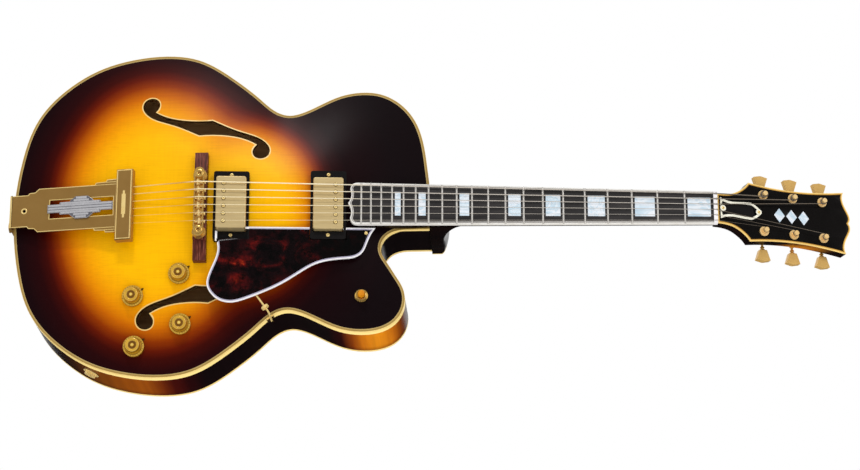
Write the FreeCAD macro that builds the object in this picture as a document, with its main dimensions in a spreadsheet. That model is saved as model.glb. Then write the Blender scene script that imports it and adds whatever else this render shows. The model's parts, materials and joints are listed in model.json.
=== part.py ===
import FreeCAD
import Part
import math
import operator
import os
import Sketcher
from FreeCAD import Placement, Rotation, Vector

# Archtop guitar with a rounded cutaway, in millimetres.
# It is drawn on the bench: X runs from the tail along the strings, Y to the bass side, Z out of the face,
# with Z zero at the binding's top. Every piece is then turned into the playing position,
# with the face towards -Y, the bass side up and the origin on the rim at the strap button.

# Driving dimensions

SIZES = {
    # Body outline
    "body_length": 528.0,
    "lower_bout": 432.0,
    "lower_bout_place": 186.0,
    "waist": 261.0,
    "waist_place": 350.0,
    "upper_bout": 321.0,
    "upper_bout_place": 442.0,
    "shoulder": 35.0,
    "horn_reach": 55.6,
    "horn_side": 114.0,
    "cutaway_place": 466.5,
    "cutaway_side": 26.7,
    # Plates and rim
    "rim_depth": 85.7,
    "rim_wall": 2.6,
    "top_thickness": 6.0,
    "back_thickness": 5.5,
    "top_arch": 19.0,
    "back_arch": 17.0,
    "tail_rise": 215.0,
    "neck_rise": 200.0,
    "cutaway_rise": 70.0,
    "binding_width": 3.4,
    "lining_width": 6.0,
    "lining_height": 13.0,
    "tone_bar_width": 6.0,
    "tone_bar_height": 12.0,
    "tone_bar_side": 53.0,
    "tone_bar_start": 110.0,
    "tone_bar_end": 430.0,
    "block_length": 46.0,
    "block_width": 46.0,
    # Sound holes
    "f_hole_place": 243.5,
    "f_hole_side": 111.4,
    "f_hole_reach": 82.0,
    "f_hole_drop": 43.8,
    "f_binding_width": 1.5,
    # Neck
    "scale_length": 647.7,
    "neck_angle": 4.67,
    "board_height": 19.7,
    "board_length": 457.5,
    "board_thickness": 6.2,
    "board_radius": 305.0,
    "board_binding": 3.2,
    "board_corner": 9.0,
    "board_point": 2.6,
    "nut_width": 42.9,
    "board_end_width": 56.0,
    "nut_thickness": 5.0,
    "nut_rise": 2.0,
    "nut_action": 1.0,
    "nut_flare": 0.7,
    "fret_width": 2.4,
    "fret_height": 1.0,
    "inlay_margin": 3.6,
    "inlay_thickness": 1.4,
    "neck_depth": 14.5,
    "heel_depth": 17.5,
    "heel_reach": 58.0,
    "heel_width": 61.0,
    "heel_cap_thickness": 2.2,
    "extension_depth": 16.0,
    "extension_inset": 1.7,
    "rod_radius": 2.4,
    "rod_depth": 13.0,
    "rod_length": 372.0,
    # Headstock
    "head_angle": 17.0,
    "head_length": 192.4,
    "head_width": 83.0,
    "head_thickness": 14.5,
    "head_drop": 1.0,
    "face_thickness": 2.0,
    "head_binding": 2.4,
    "diamond_place": 92.0,
    "diamond_step": 17.0,
    "diamond_length": 15.0,
    "diamond_width": 19.0,
    "cover_start": 9.0,
    "cover_length": 57.0,
    "cover_width": 28.0,
    "cover_thickness": 2.2,
    # Tuners
    "tuner_place": 69.2,
    "tuner_step": 41.7,
    "tuner_side": 24.3,
    "post_radius": 3.0,
    "post_rise": 10.0,
    "bushing_radius": 5.0,
    "bushing_rim": 6.2,
    "bushing_rise": 2.0,
    "housing_depth": 9.5,
    "housing_wall": 1.3,
    "gear_radius": 4.6,
    "gear_height": 3.2,
    "worm_radius": 2.1,
    "worm_offset": 7.0,
    "worm_drop": 4.6,
    "shaft_radius": 1.6,
    "collar_radius": 3.0,
    "button_side": 42.0,
    "button_length": 15.5,
    "button_width": 19.0,
    "button_thickness": 7.5,
    # Tailpiece
    "tail_height": 15.0,
    "tail_slope": 8.0,
    "tail_length": 137.0,
    "tail_width": 58.0,
    "tail_plate": 2.2,
    "bracket_width": 42.0,
    "bracket_drop": 76.0,
    "tail_bar_width": 21.0,
    "tail_bar_length": 94.0,
    "tail_bar_rise": 3.0,
    "tail_bar_depth": 8.5,
    "tail_bar_bevel": 1.2,
    "tail_slot_start": 50.0,
    "tail_slot_end": 133.0,
    "tail_slot_width": 24.4,
    "insert_width": 32.0,
    "insert_rise": 2.4,
    "tail_hole_radius": 2.2,
    "tail_string_hole": 1.6,
    "tail_string_depth": 3.0,
    "tail_hole_place": 16.5,
    "strap_base": 5.5,
    "strap_waist": 4.2,
    "strap_rim": 7.0,
    "strap_length": 12.0,
    # Bridge
    "bridge_place": 241.0,
    "bridge_base_length": 144.0,
    "bridge_base_width": 16.5,
    "bridge_base_height": 30.7,
    "bridge_foot_fall": 4.8,
    "bridge_arch_width": 46.0,
    "bridge_arch_height": 3.5,
    "bridge_length": 92.0,
    "bridge_width": 12.4,
    "bridge_height": 8.2,
    "bridge_channel_length": 66.0,
    "bridge_channel_width": 9.8,
    "bridge_channel_depth": 6.4,
    "stud_spacing": 75.0,
    "stud_radius": 2.0,
    "stud_sink": 8.0,
    "wheel_radius": 8.6,
    "wheel_height": 2.8,
    "wheel_lift": 2.0,
    "saddle_width": 7.4,
    "saddle_length": 4.4,
    "saddle_screw_radius": 1.1,
    "saddle_screw_head": 1.9,
    "string_height": 46.8,
    "string_spread": 52.0,
    # Strings
    "gauge_1": 0.165,
    "gauge_2": 0.22,
    "gauge_3": 0.33,
    "gauge_4": 0.45,
    "gauge_5": 0.58,
    "gauge_6": 0.71,
    "nut_spread": 35.6,
    "tail_spread": 48.0,
    "string_bend": 4.0,
    "winding_gap": 0.6,
    "winding_rise": 7.6,
    # Pickups
    "bridge_pickup_place": 280.0,
    "neck_pickup_place": 402.0,
    "bridge_ring_height": 27.5,
    "neck_ring_height": 22.6,
    "bridge_pickup_rise": 12.4,
    "neck_pickup_rise": 6.6,
    "pickup_length": 69.5,
    "pickup_width": 37.8,
    "pickup_height": 17.0,
    "pickup_wall": 0.7,
    "pickup_corner": 3.0,
    "pickup_edge": 1.2,
    "bobbin_width": 16.5,
    "pole_offset": 9.2,
    "pole_pitch": 10.0,
    "pole_radius": 2.3,
    "pole_rise": 0.7,
    "leg_drop": 15.0,
    "leg_width": 12.0,
    "leg_plate": 1.3,
    "ring_length": 91.0,
    "ring_width": 45.0,
    "ring_corner": 3.0,
    "ring_gap": 0.7,
    "ring_depth": 24.0,
    "route_length": 88.0,
    "route_width": 42.4,
    "height_screw_side": 40.2,
    "height_screw_radius": 1.3,
    "height_screw_head": 2.3,
    "height_screw_length": 36.0,
    # Pickguard
    "guard_thickness": 2.6,
    "guard_border": 2.8,
    "guard_height": 17.0,
    "guard_start": 251.5,
    "guard_end": 461.0,
    "guard_top": 30.0,
    "guard_low": 129.5,
    "guard_gap": 0.6,
    "guard_screw_place": 449.5,
    "guard_screw_side": 37.0,
    "spacer_radius": 3.2,
    "trim_screw_radius": 1.1,
    "trim_screw_head": 2.2,
    "bracket_place": 327.0,
    "bracket_rod_radius": 1.2,
    "bracket_rod_gap": 0.4,
    "bracket_rod_reach": 44.0,
    "bracket_rod_bend": 7.0,
    "bracket_nut_radius": 4.8,
    "bracket_nut_height": 3.0,
    "bracket_foot_length": 10.0,
    "bracket_foot_height": 9.0,
    "bracket_foot_plate": 1.6,
    "bracket_foot_low": 11.0,
    # Controls
    "neck_volume_place": 215.2,
    "neck_volume_side": 85.7,
    "bridge_volume_place": 157.4,
    "bridge_volume_side": 113.0,
    "neck_tone_place": 217.3,
    "neck_tone_side": 149.5,
    "bridge_tone_place": 159.7,
    "bridge_tone_side": 176.8,
    "knob_gap": 0.9,
    "knob_brim": 13.4,
    "knob_brim_height": 4.4,
    "knob_shoulder": 10.6,
    "knob_crown": 8.6,
    "knob_height": 15.0,
    "knob_recess": 1.4,
    "knob_wall": 1.8,
    "knob_hub": 5.6,
    "pot_radius": 12.0,
    "pot_height": 9.0,
    "pot_drop": 7.2,
    "pot_bushing": 4.6,
    "pot_bushing_rise": 5.0,
    "pot_nut": 7.0,
    "pot_nut_height": 2.2,
    "pot_shaft": 3.0,
    "switch_place": 443.0,
    "switch_side": 114.6,
    "switch_radius": 7.6,
    "switch_depth": 26.0,
    "switch_collar": 5.6,
    "switch_washer": 8.2,
    "switch_rise": 3.2,
    "switch_bore": 4.0,
    "lever_ball": 3.3,
    "lever_radius": 1.5,
    "lever_tip": 5.0,
    "lever_rise": 15.5,
    "lever_tail": 6.0,
    "lever_pivot": 2.0,
    "lever_pin": 1.2,
    "jack_place": 101.7,
    "jack_height": 37.0,
    "jack_bore": 3.2,
    "jack_sleeve": 4.7,
    "jack_washer": 10.5,
    "jack_nut": 7.4,
    "jack_nut_height": 3.4,
    "jack_depth": 9.0,
    # Fits
    "running_fit": 0.05,
    "seat_gap": 0.3,
    "overrun": 30.0,
}

FRET_COUNT = 20
JOINT_FRET = 14
INLAY_FRETS = (1, 3, 5, 7, 9, 12, 15, 17)
STRING_COUNT = 6
TUNERS_A_SIDE = 3
DIAMOND_COUNT = 3
WINDING_TURNS = 2
ARCH_COLUMNS = 46
ARCH_ROWS = 38
OUTLINE_SAMPLES = 150
TRIM_SAMPLES = 14
BOARD_SAMPLES = 7
ARCH_POWER = 0.7
QUARTERS = 4
COIL_POINTS = 6
CORNER_SHARE = 0.29
POINT_SHARE = 0.36
INLAY_SHARE = 0.58
BALL_SHARE = 0.72
HEAD_DOME_SHARE = 0.7
BUTTON_SHARES = ((0, 0.5), (0.1, 0.57), (0.88, 1.0), (1.0, 0.1))

doc = FreeCAD.newDocument("archtop_guitar")
sheet = doc.addObject("Spreadsheet::Sheet", "sizes")
for row, (name, number) in enumerate(SIZES.items(), start=1):
    sheet.set("A%d" % row, name)
    sheet.set("B%d" % row, str(number))
    sheet.setAlias("B%d" % row, name)
doc.recompute()


class Size:
    """A length that keeps the formula that it was made with."""

    signs = {"+": operator.add, "-": operator.sub, "*": operator.mul, "/": operator.truediv}

    def __init__(self, text, number):
        self.text = text
        self.number = number

    def __float__(self):
        return float(self.number)

    def joined(self, sign, left, right):
        number = Size.signs[sign](float(left), float(right))
        return Size("(%s %s %s)" % (words(left), sign, words(right)), number)

    def __add__(self, other):
        return self.joined("+", self, other)

    def __radd__(self, other):
        return self.joined("+", other, self)

    def __sub__(self, other):
        return self.joined("-", self, other)

    def __rsub__(self, other):
        return self.joined("-", other, self)

    def __mul__(self, other):
        return self.joined("*", self, other)

    def __rmul__(self, other):
        return self.joined("*", other, self)

    def __truediv__(self, other):
        return self.joined("/", self, other)

    def __neg__(self):
        return self.joined("-", 0, self)


def words(size):
    return size.text if isinstance(size, Size) else repr(float(size))


class Bound:
    """Named sizes as formulas, to bind a property to."""

    def __getattr__(self, name):
        return Size("sizes.%s" % name, sheet.get(name))


class Read:
    """Named sizes as plain numbers."""

    def __getattr__(self, name):
        return float(sheet.get(name))


s = Bound()
v = Read()

# Frames

BASS = 1
TREBLE = -1
SIDES = (BASS, TREBLE)
AXIS_X = Vector(1, 0, 0)
AXIS_Y = Vector(0, 1, 0)
AXIS_Z = Vector(0, 0, 1)
QUARTER = 90
FULL_TURN = 360

PLAYING = Placement(Vector(0, -v.rim_depth / 2, 0), Rotation(AXIS_X, QUARTER))


def fret_distance(fret):
    return v.scale_length * (1 - 2 ** (-fret / 12))


joint_distance = fret_distance(JOINT_FRET)
neck_tilt = math.radians(v.neck_angle)
nut_point = Vector(
    v.body_length + math.cos(neck_tilt) * joint_distance,
    0,
    v.board_height - math.sin(neck_tilt) * joint_distance,
)
NECK = Placement(nut_point, Rotation(AXIS_Y, v.neck_angle))
HEAD = Placement(nut_point, Rotation(AXIS_Y, v.neck_angle + v.head_angle))
TAIL = Placement(Vector(0, 0, v.tail_height), Rotation(AXIS_Y, -v.tail_slope))
GUARD = Placement(Vector(v.guard_end, 0, v.guard_height), Rotation(AXIS_Y, v.neck_angle))


# Document helpers

nodes = []


def publish(item, label, frame):
    item.Label = label
    item.Placement = frame
    nodes.append(item)
    return item


def solid_node(label, shape):
    item = doc.addObject("Part::Feature", label)
    item.Shape = shape
    return publish(item, label, PLAYING.multiply(shape.Placement))


def bind(item, prop, size):
    if isinstance(size, Size):
        item.setExpression(prop, size.text)


def place(item, point):
    for axis, size in zip("xyz", point):
        bind(item, "Placement.Base." + axis, size)
    return item


def box(low, length, width, height):
    item = doc.addObject("Part::Box", "block")
    bind(item, "Length", length)
    bind(item, "Width", width)
    bind(item, "Height", height)
    return place(item, low)


def cylinder(foot, radius, height, turn=None):
    item = doc.addObject("Part::Cylinder", "round")
    bind(item, "Radius", radius)
    bind(item, "Height", height)
    if turn:
        item.Placement = Placement(Vector(), turn)
    return place(item, foot)


ALONG_X = Rotation(AXIS_Y, QUARTER)
ALONG_Y = Rotation(AXIS_X, -QUARTER)


def fuse(parts):
    item = doc.addObject("Part::MultiFuse", "joined")
    item.Shapes = parts
    return item


def group(parts, label="group"):
    item = doc.addObject("Part::Compound", label)
    item.Links = parts
    return item


def cut(base, tools):
    item = doc.addObject("Part::Cut", "cut")
    item.Base = base
    item.Tool = group(tools, "cutters")
    return item


def rounded(base, edges, radius):
    item = doc.addObject("Part::Fillet", "rounded")
    item.Base = base
    item.Edges = [(number, float(radius), float(radius)) for number in edges]
    return item


def new_body(label):
    return doc.addObject("PartDesign::Body", label)


def sketch_on(body, role, lift=0):
    sketch = body.newObject("Sketcher::SketchObject", "profile")
    plane = [feature for feature in body.Origin.OriginFeatures if feature.Role == role][0]
    sketch.AttachmentSupport = [(plane, "")]
    sketch.MapMode = "FlatFace"
    bind(sketch, "AttachmentOffset.Base.z", lift)
    return sketch


def polygon(sketch, corners):
    count = len(corners)
    points = [Vector(float(across), float(along), 0) for across, along in corners]
    start = sketch.GeometryCount
    for number in range(count):
        sketch.addGeometry(Part.LineSegment(points[number], points[(number + 1) % count]))
    for number in range(count):
        following = start + (number + 1) % count
        sketch.addConstraint(Sketcher.Constraint("Coincident", start + number, 2, following, 1))
    for number, corner in enumerate(corners):
        for kind, axis_line, size in (("DistanceX", -2, corner[0]), ("DistanceY", -1, corner[1])):
            if isinstance(size, Size):
                rule = Sketcher.Constraint(kind, -1, 1, start + number, 1, float(size))
                bind(sketch, "Constraints[%d]" % sketch.addConstraint(rule), size)
            else:
                sketch.addConstraint(Sketcher.Constraint("PointOnObject", start + number, 1, axis_line))


def turned(label, corners):
    """A piece turned about its Z axis, from corners given as radius and height."""
    body = new_body(label)
    sketch = sketch_on(body, "XZ_Plane")
    polygon(sketch, corners)
    spin = body.newObject("PartDesign::Revolution", "turning")
    spin.Profile = sketch
    spin.ReferenceAxis = (sketch, ["V_Axis"])
    spin.Angle = FULL_TURN
    return body


def padded(label, corners, low, height):
    """A flat piece of the given outline that stands on the height low."""
    body = new_body(label)
    sketch = sketch_on(body, "XY_Plane", low)
    polygon(sketch, corners)
    pad = body.newObject("PartDesign::Pad", "slab")
    pad.Profile = sketch
    bind(pad, "Length", height)
    return body


def mirrored_outline(half):
    """Both sides of an outline given on its bass side."""
    return half + [(along, -across) for along, across in reversed(half)]


# Curves and outlines


def smooth(points):
    curve = Part.BSplineCurve()
    curve.interpolate(points)
    return curve


def straight(start, end):
    return Part.LineSegment(start, end)


def run_samples(run, count):
    """Points on a run, each with the direction to its left."""
    total = 1 if isinstance(run, Part.LineSegment) else count
    first, last = run.FirstParameter, run.LastParameter
    samples = []
    for step in range(total + 1):
        at = first + (last - first) * step / total
        along = run.tangent(at)[0]
        samples.append((run.value(at), Vector(-along.y, along.x, 0)))
    return samples


def closed_wire(runs, inset=0, count=TRIM_SAMPLES):
    """A closed outline that runs anticlockwise, drawn in by inset."""
    if inset == 0:
        return Part.Wire([run.toShape() for run in runs])
    sampled = [run_samples(run, count) for run in runs]
    edges = []
    for number, samples in enumerate(sampled):
        before = sampled[number - 1][-1][1]
        after = sampled[(number + 1) % len(sampled)][0][1]
        points = [point + left * inset for point, left in samples]
        first, last = samples[0], samples[-1]
        points[0] = first[0] + (first[1] + before) * (inset / (1 + first[1].dot(before)))
        points[-1] = last[0] + (last[1] + after) * (inset / (1 + last[1].dot(after)))
        run = straight(*points) if len(points) == 2 else smooth(points)
        edges.append(run.toShape())
    return Part.Wire(edges)


def prism(wire, low, high):
    face = Part.Face(wire)
    face.translate(Vector(0, 0, low))
    return face.extrude(Vector(0, 0, high - low))


def ring_prism(runs, inner, low, high, outer=0, count=TRIM_SAMPLES):
    """The strip between two insets of one outline."""
    over = v.seat_gap
    inside = prism(closed_wire(runs, inner, count), low - over, high + over)
    return prism(closed_wire(runs, outer, count), low, high).cut(inside)


def moved(shape, frame):
    copy = shape.copy()
    copy.Placement = frame.multiply(shape.Placement)
    return copy


def block(low, high):
    return Part.makeBox(high.x - low.x, high.y - low.y, high.z - low.z, low)


# Body outline, from named bouts and shares of the stretches between them

SHOULDER_SHARES = ((0.919, 0.542), (0.79, 0.748), (0.57, 0.895), (0.267, 0.984), (0, 1))
WAIST_SHARES = ((0.696, 0.84), (0.413, 0.45), (0.136, 0.073), (0, 0))
FLANK_SHARES = ((0.921, 0.035), (0.762, 0.275), (0.561, 0.596), (0.268, 0.93), (0, 1))
TAIL_SHARES = ((0.79, 0.981), (0.559, 0.921), (0.35, 0.81), (0.141, 0.606), (0.043, 0.352))
HORN_SHARES = ((0.323, 0.991), (0.592, 0.96), (0.772, 0.916), (0.907, 0.854), (0.987, 0.773), (0.952, 0.654))
CUTAWAY_SHARES = ((0.594, 0.69), (0.339, 0.54), (0.14, 0.43), (0.03, 0.345), (0, 0.26), (0.085, 0.155),
                  (0.295, 0.07), (0.594, 0.02), (0.98, 0))

half_lower = v.lower_bout / 2
half_waist = v.waist / 2
half_upper = v.upper_bout / 2
horn_tip = v.upper_bout_place + v.horn_reach


def between(low, high, share):
    return low + (high - low) * share


bass_points = []
for along, across in SHOULDER_SHARES:
    bass_points.append(Vector(between(v.upper_bout_place, v.body_length, along), half_upper * across, 0))
for along, across in WAIST_SHARES:
    bass_points.append(Vector(between(v.waist_place, v.upper_bout_place, along),
                              between(half_waist, half_upper, across), 0))
for along, across in FLANK_SHARES:
    bass_points.append(Vector(between(v.lower_bout_place, v.waist_place, along),
                              between(half_waist, half_lower, across), 0))
for along, across in TAIL_SHARES:
    bass_points.append(Vector(v.lower_bout_place * along, half_lower * across, 0))

upper_count = len(SHOULDER_SHARES) - 1
treble_points = [Vector(point.x, -point.y, 0) for point in reversed(bass_points[upper_count:])]
horn_points = [Vector(v.upper_bout_place + v.horn_reach * along, -half_upper * across, 0)
               for along, across in HORN_SHARES]
cutaway_points = [Vector(between(v.cutaway_place, horn_tip, along),
                         -between(v.cutaway_side, v.horn_side, across), 0)
                  for along, across in CUTAWAY_SHARES]
shoulder_point = Vector(v.body_length, v.shoulder, 0)
cutaway_corner = Vector(v.body_length, -v.cutaway_side, 0)
body_curve = smooth([shoulder_point] + bass_points + [Vector(0, 0, 0)] + treble_points
                    + horn_points + cutaway_points)
BODY_RUNS = [
    body_curve,
    straight(cutaway_points[-1], cutaway_corner),
    straight(cutaway_corner, shoulder_point),
]
body_samples = [point for point, left in run_samples(body_curve, OUTLINE_SAMPLES)]
bass_samples = [shoulder_point] + [point for point in body_samples[1:] if point.y >= 0]
cutaway_samples = [point for point in body_samples if point.x > v.cutaway_place and point.y < 0
                   and point.y > -v.horn_side]


def body_wire(inset=0):
    return closed_wire(BODY_RUNS, inset, OUTLINE_SAMPLES)


# Arching

def half_width(along):
    """The bass side's distance from the centreline."""
    for near, far in zip(bass_samples, bass_samples[1:]):
        if far.x <= along <= near.x:
            share = (along - far.x) / max(near.x - far.x, v.running_fit)
            return between(far.y, near.y, share)
    return 0


def swell(share):
    """Rise of the arch, from none at the edge to all of it."""
    held = min(max(share, 0), 1)
    return (0.5 - 0.5 * math.cos(math.pi * held)) ** ARCH_POWER


def arch_share(along, across):
    width = half_width(along)
    if width <= abs(across):
        return 0
    point = Vector(along, across, 0)
    to_cutaway = min(point.distanceToPoint(edge) for edge in cutaway_samples)
    if along > v.cutaway_place and across < -v.cutaway_side and not inside_horn(along, across):
        to_cutaway = 0
    lengthwise = swell(along / v.tail_rise) * swell((v.body_length - along) / v.neck_rise)
    return swell(1 - abs(across) / width) * lengthwise * swell(to_cutaway / v.cutaway_rise)


def inside_horn(along, across):
    """Whether a point beyond the cutaway's depth lies on the horn and not in the gap."""
    level = [point for point in cutaway_samples if point.x <= along]
    lowest = min(point.y for point in level) if level else -v.cutaway_side
    return across < lowest


def arch_face(base, rise):
    """A carved surface over the whole plan, flat at its edges."""
    margin = v.overrun / 2
    rows = []
    for column in range(ARCH_COLUMNS + 1):
        along = between(-margin, v.body_length + margin, column / ARCH_COLUMNS)
        line = []
        for step in range(ARCH_ROWS + 1):
            across = between(-half_lower - margin, half_lower + margin, step / ARCH_ROWS)
            line.append(Vector(along, across, base + rise * arch_share(along, across)))
        rows.append(line)
    surface = Part.BSplineSurface()
    surface.interpolate(rows)
    return surface.toShape()


def lifted(face, height):
    copy = face.copy()
    copy.translate(Vector(0, 0, height))
    return copy


def top_height(along, across):
    return v.top_arch * arch_share(along, across)


def top_frame(along, across, lift=0):
    """A frame on the top's surface, with Z along its normal."""
    step = v.rim_wall
    slope_x = (top_height(along + step, across) - top_height(along - step, across)) / (2 * step)
    slope_y = (top_height(along, across + step) - top_height(along, across - step)) / (2 * step)
    normal = Vector(-slope_x, -slope_y, 1).normalize()
    point = Vector(along, across, top_height(along, across))
    return Placement(point + normal * lift, Rotation(AXIS_Z, normal))


top_face = arch_face(0, v.top_arch)
back_face = arch_face(-v.rim_depth, -v.back_arch)
inner_top = lifted(top_face, -v.top_thickness)
inner_back = lifted(back_face, v.back_thickness)
reach = v.rim_depth
below_top = top_face.extrude(Vector(0, 0, -reach))
above_inner_top = inner_top.extrude(Vector(0, 0, reach))
below_inner_back = inner_back.extrude(Vector(0, 0, -reach))

# Sound holes, each half a turned copy of the other

F_EDGE_SHARES = ((-0.80, 0.54), (-0.725, 0.457), (-0.563, 0.333), (-0.384, 0.26), (-0.207, 0.228),
                 (-0.024, 0.226), (0.098, 0.244))
F_EYE_SHARES = ((0.098, 0.244), (0.22, 0.135), (0.354, 0.016), (0.518, -0.107), (0.695, -0.217),
                (0.859, -0.356), (0.957, -0.518), (1.0, -0.689), (0.976, -0.89), (0.868, -1.0),
                (0.768, -0.932), (0.735, -0.776), (0.759, -0.639), (0.80, -0.54))


def f_hole_runs(side):
    runs = []
    for turn in (1, -1):
        for shares in (F_EDGE_SHARES, F_EYE_SHARES):
            points = []
            for along, across in shares:
                points.append(Vector(v.f_hole_place + v.f_hole_reach * along * turn,
                                     side * (v.f_hole_side + v.f_hole_drop * across * turn), 0))
            runs.append(points)
    if side == BASS:
        runs = [list(reversed(points)) for points in reversed(runs)]
    return [smooth(points) for points in runs]


def through(wire):
    return prism(wire, -reach, reach)


f_cuts = [through(closed_wire(f_hole_runs(side), -v.f_binding_width)) for side in SIDES]
f_openings = [through(closed_wire(f_hole_runs(side))) for side in SIDES]

# Top and back

KNOB_PLACES = {
    "neck_volume": (v.neck_volume_place, -v.neck_volume_side),
    "bridge_volume": (v.bridge_volume_place, -v.bridge_volume_side),
    "neck_tone": (v.neck_tone_place, -v.neck_tone_side),
    "bridge_tone": (v.bridge_tone_place, -v.bridge_tone_side),
}
SWITCH_PLACE = (v.switch_place, -v.switch_side)


def round_hole(frame, radius):
    hole = Part.makeCylinder(radius, v.overrun, Vector(0, 0, -v.overrun / 2), AXIS_Z)
    return moved(hole, frame)


def route(place):
    low = Vector(place - v.route_width / 2, -v.route_length / 2, -reach)
    return block(low, Vector(place + v.route_width / 2, v.route_length / 2, reach))


top_cuts = f_cuts + [route(v.bridge_pickup_place), route(v.neck_pickup_place)]
for along, across in KNOB_PLACES.values():
    top_cuts.append(round_hole(top_frame(along, across), v.pot_bushing + v.seat_gap))
top_cuts.append(round_hole(top_frame(*SWITCH_PLACE), v.switch_collar + v.seat_gap))

plate_plan = through(body_wire(v.binding_width))
top_slab = top_face.extrude(Vector(0, 0, -v.top_thickness))
back_slab = back_face.extrude(Vector(0, 0, v.back_thickness))
solid_node("top_plate", top_slab.common(plate_plan).cut(top_cuts))
solid_node("back_plate", back_slab.common(through(body_wire(v.binding_width)).translated(
    Vector(0, 0, -v.rim_depth))))

# Rim, bent in two sides that meet at the tail and the neck

rim_low = -v.rim_depth + v.back_thickness
rim_high = -v.top_thickness
rim = ring_prism(BODY_RUNS, v.rim_wall, rim_low, rim_high, count=OUTLINE_SAMPLES)


def jack_frame():
    """The jack's seat on the treble side, with Z out of the rim."""
    seat = min(body_samples, key=lambda point: abs(point.x - v.jack_place) + (reach if point.y > 0 else 0))
    along = body_curve.tangent(body_curve.parameter(seat))[0]
    outward = Vector(along.y, -along.x, 0)
    return Placement(Vector(seat.x, seat.y, -v.jack_height), Rotation(AXIS_Z, outward))


JACK = jack_frame()
jack_hole = Part.makeCylinder(v.jack_sleeve + v.running_fit, v.overrun, Vector(0, 0, -v.overrun / 2), AXIS_Z)
half_plan = Vector(v.body_length + v.overrun, half_lower + v.overrun, v.overrun)
bass_half = block(Vector(-v.overrun, 0, -v.rim_depth), half_plan)
treble_half = block(Vector(-v.overrun, -half_plan.y, -v.rim_depth), Vector(half_plan.x, 0, half_plan.z))
solid_node("bass_side", rim.common(bass_half))
solid_node("treble_side", rim.common(treble_half).cut(moved(jack_hole, JACK)))

lining_inset = v.rim_wall + v.lining_width
lining_heights = ((rim_high - v.lining_height, rim_high), (rim_low, rim_low + v.lining_height))
linings = [ring_prism(BODY_RUNS, lining_inset, low, high, v.rim_wall, OUTLINE_SAMPLES)
           for low, high in lining_heights]
solid_node("kerfed_linings", Part.makeCompound(linings))

# Blocks and tone bars inside the body


inside_plan = through(body_wire(v.binding_width + v.running_fit))


def fitted_block(low, high):
    shape = block(low, high).common(inside_plan).cut(above_inner_top).cut(below_inner_back)
    return shape.cut(linings)


block_half = v.block_width / 2
tail_block = fitted_block(Vector(v.rim_wall, -block_half, -v.rim_depth),
                          Vector(v.rim_wall + v.block_length, block_half, 0))
neck_end = v.body_length - v.rim_wall
neck_block = fitted_block(Vector(neck_end - v.block_length, -block_half, -v.rim_depth),
                          Vector(neck_end, block_half, v.top_arch))
solid_node("end_blocks", Part.makeCompound([tail_block, neck_block]))

bar_slab = inner_top.extrude(Vector(0, 0, -v.tone_bar_height))
tone_bars = []
for side in SIDES:
    middle = side * v.tone_bar_side
    footprint = block(Vector(v.tone_bar_start, middle - v.tone_bar_width / 2, -reach),
                      Vector(v.tone_bar_end, middle + v.tone_bar_width / 2, reach))
    tone_bars.append(bar_slab.common(footprint))
solid_node("tone_bars", Part.makeCompound(tone_bars))

# Neck

HEEL_SHARES = ((0.0, 1.0, 0.8), (0.12, 0.66, 0.86), (0.3, 0.45, 0.96), (0.6, 0.38, 1.0), (1.0, 0.36, 0.98))
HEEL_SIDE_SHARE = 0.55
SHAFT_SHARES = ((1.0, 0.0), (0.95, 0.36), (0.64, 0.8), (0.0, 1.0))


def board_half(distance):
    return between(v.nut_width, v.board_end_width, distance / v.board_length) / 2


def shaft_section(distance, depth):
    """The neck's rounded back at a distance from the nut."""
    half = board_half(distance)
    right = [Vector(-distance, half * wide, -v.board_thickness - depth * deep) for wide, deep in SHAFT_SHARES]
    left = [Vector(point.x, -point.y, point.z) for point in reversed(right[:-1])]
    curve = smooth(right + left)
    return Part.Wire([curve.toShape(), straight(left[-1], right[0]).toShape()])


def heel_section(depth_share, reach_share, width_share):
    """A slice of the heel, flat against the body, with straight sides and a round end."""
    height = -v.rim_depth * depth_share
    half = v.heel_width * width_share / 2
    out = v.heel_reach * reach_share * (1 - HEEL_SIDE_SHARE)
    long_axis, short_axis = max(out, half), min(out, half)
    turn = 0 if out > half else QUARTER
    root = Vector(v.body_length, 0, height)
    middle = root + AXIS_X * v.heel_reach * reach_share * HEEL_SIDE_SHARE
    oval = Part.Ellipse(Vector(0, 0, 0), long_axis, short_axis)
    oval.rotate(Placement(Vector(), Rotation(AXIS_Z, turn)))
    oval.translate(middle)
    quarter = math.pi / 2
    start = -quarter - math.radians(turn)
    curve = Part.Arc(oval, start, start + math.pi)
    corners = [middle + AXIS_Y * half, root + AXIS_Y * half, root - AXIS_Y * half, middle - AXIS_Y * half]
    sides = [straight(*pair).toShape() for pair in zip(corners, corners[1:])]
    return Part.Wire([curve.toShape()] + sides)


def board_runs(nut_end=0):
    """The fingerboard's plan, with round corners and a small point at its body end."""
    half = board_half(v.board_length)
    corner = v.board_corner
    end = -v.board_length
    round_points = [
        Vector(end + corner, board_half(v.board_length - corner), 0),
        Vector(end + corner * CORNER_SHARE, half - corner * CORNER_SHARE, 0),
        Vector(end, half - corner, 0),
    ]
    upper = [straight(Vector(nut_end, board_half(-nut_end), 0), round_points[0])]
    tip = Vector(end - v.board_point, 0, 0)
    inner = Vector(end + v.board_point / 2, half * POINT_SHARE, 0)
    sweep = [round_points[-1], inner, tip]
    upper.append(smooth(round_points))
    upper.append(smooth(sweep))

    def flip(point):
        return Vector(point.x, -point.y, 0)

    lower = [
        smooth([tip, flip(inner), flip(round_points[-1])]),
        smooth([flip(point) for point in reversed(round_points)]),
        straight(flip(round_points[0]), Vector(nut_end, -board_half(-nut_end), 0)),
        straight(Vector(nut_end, -board_half(-nut_end), 0), Vector(nut_end, board_half(-nut_end), 0)),
    ]
    return upper + lower


def board_drum(radius):
    """A long drum whose top is the fingerboard's playing face."""
    length = v.board_length + 2 * v.overrun
    return Part.makeCylinder(radius, length, Vector(v.overrun - length, 0, -v.board_radius), AXIS_X)


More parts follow.
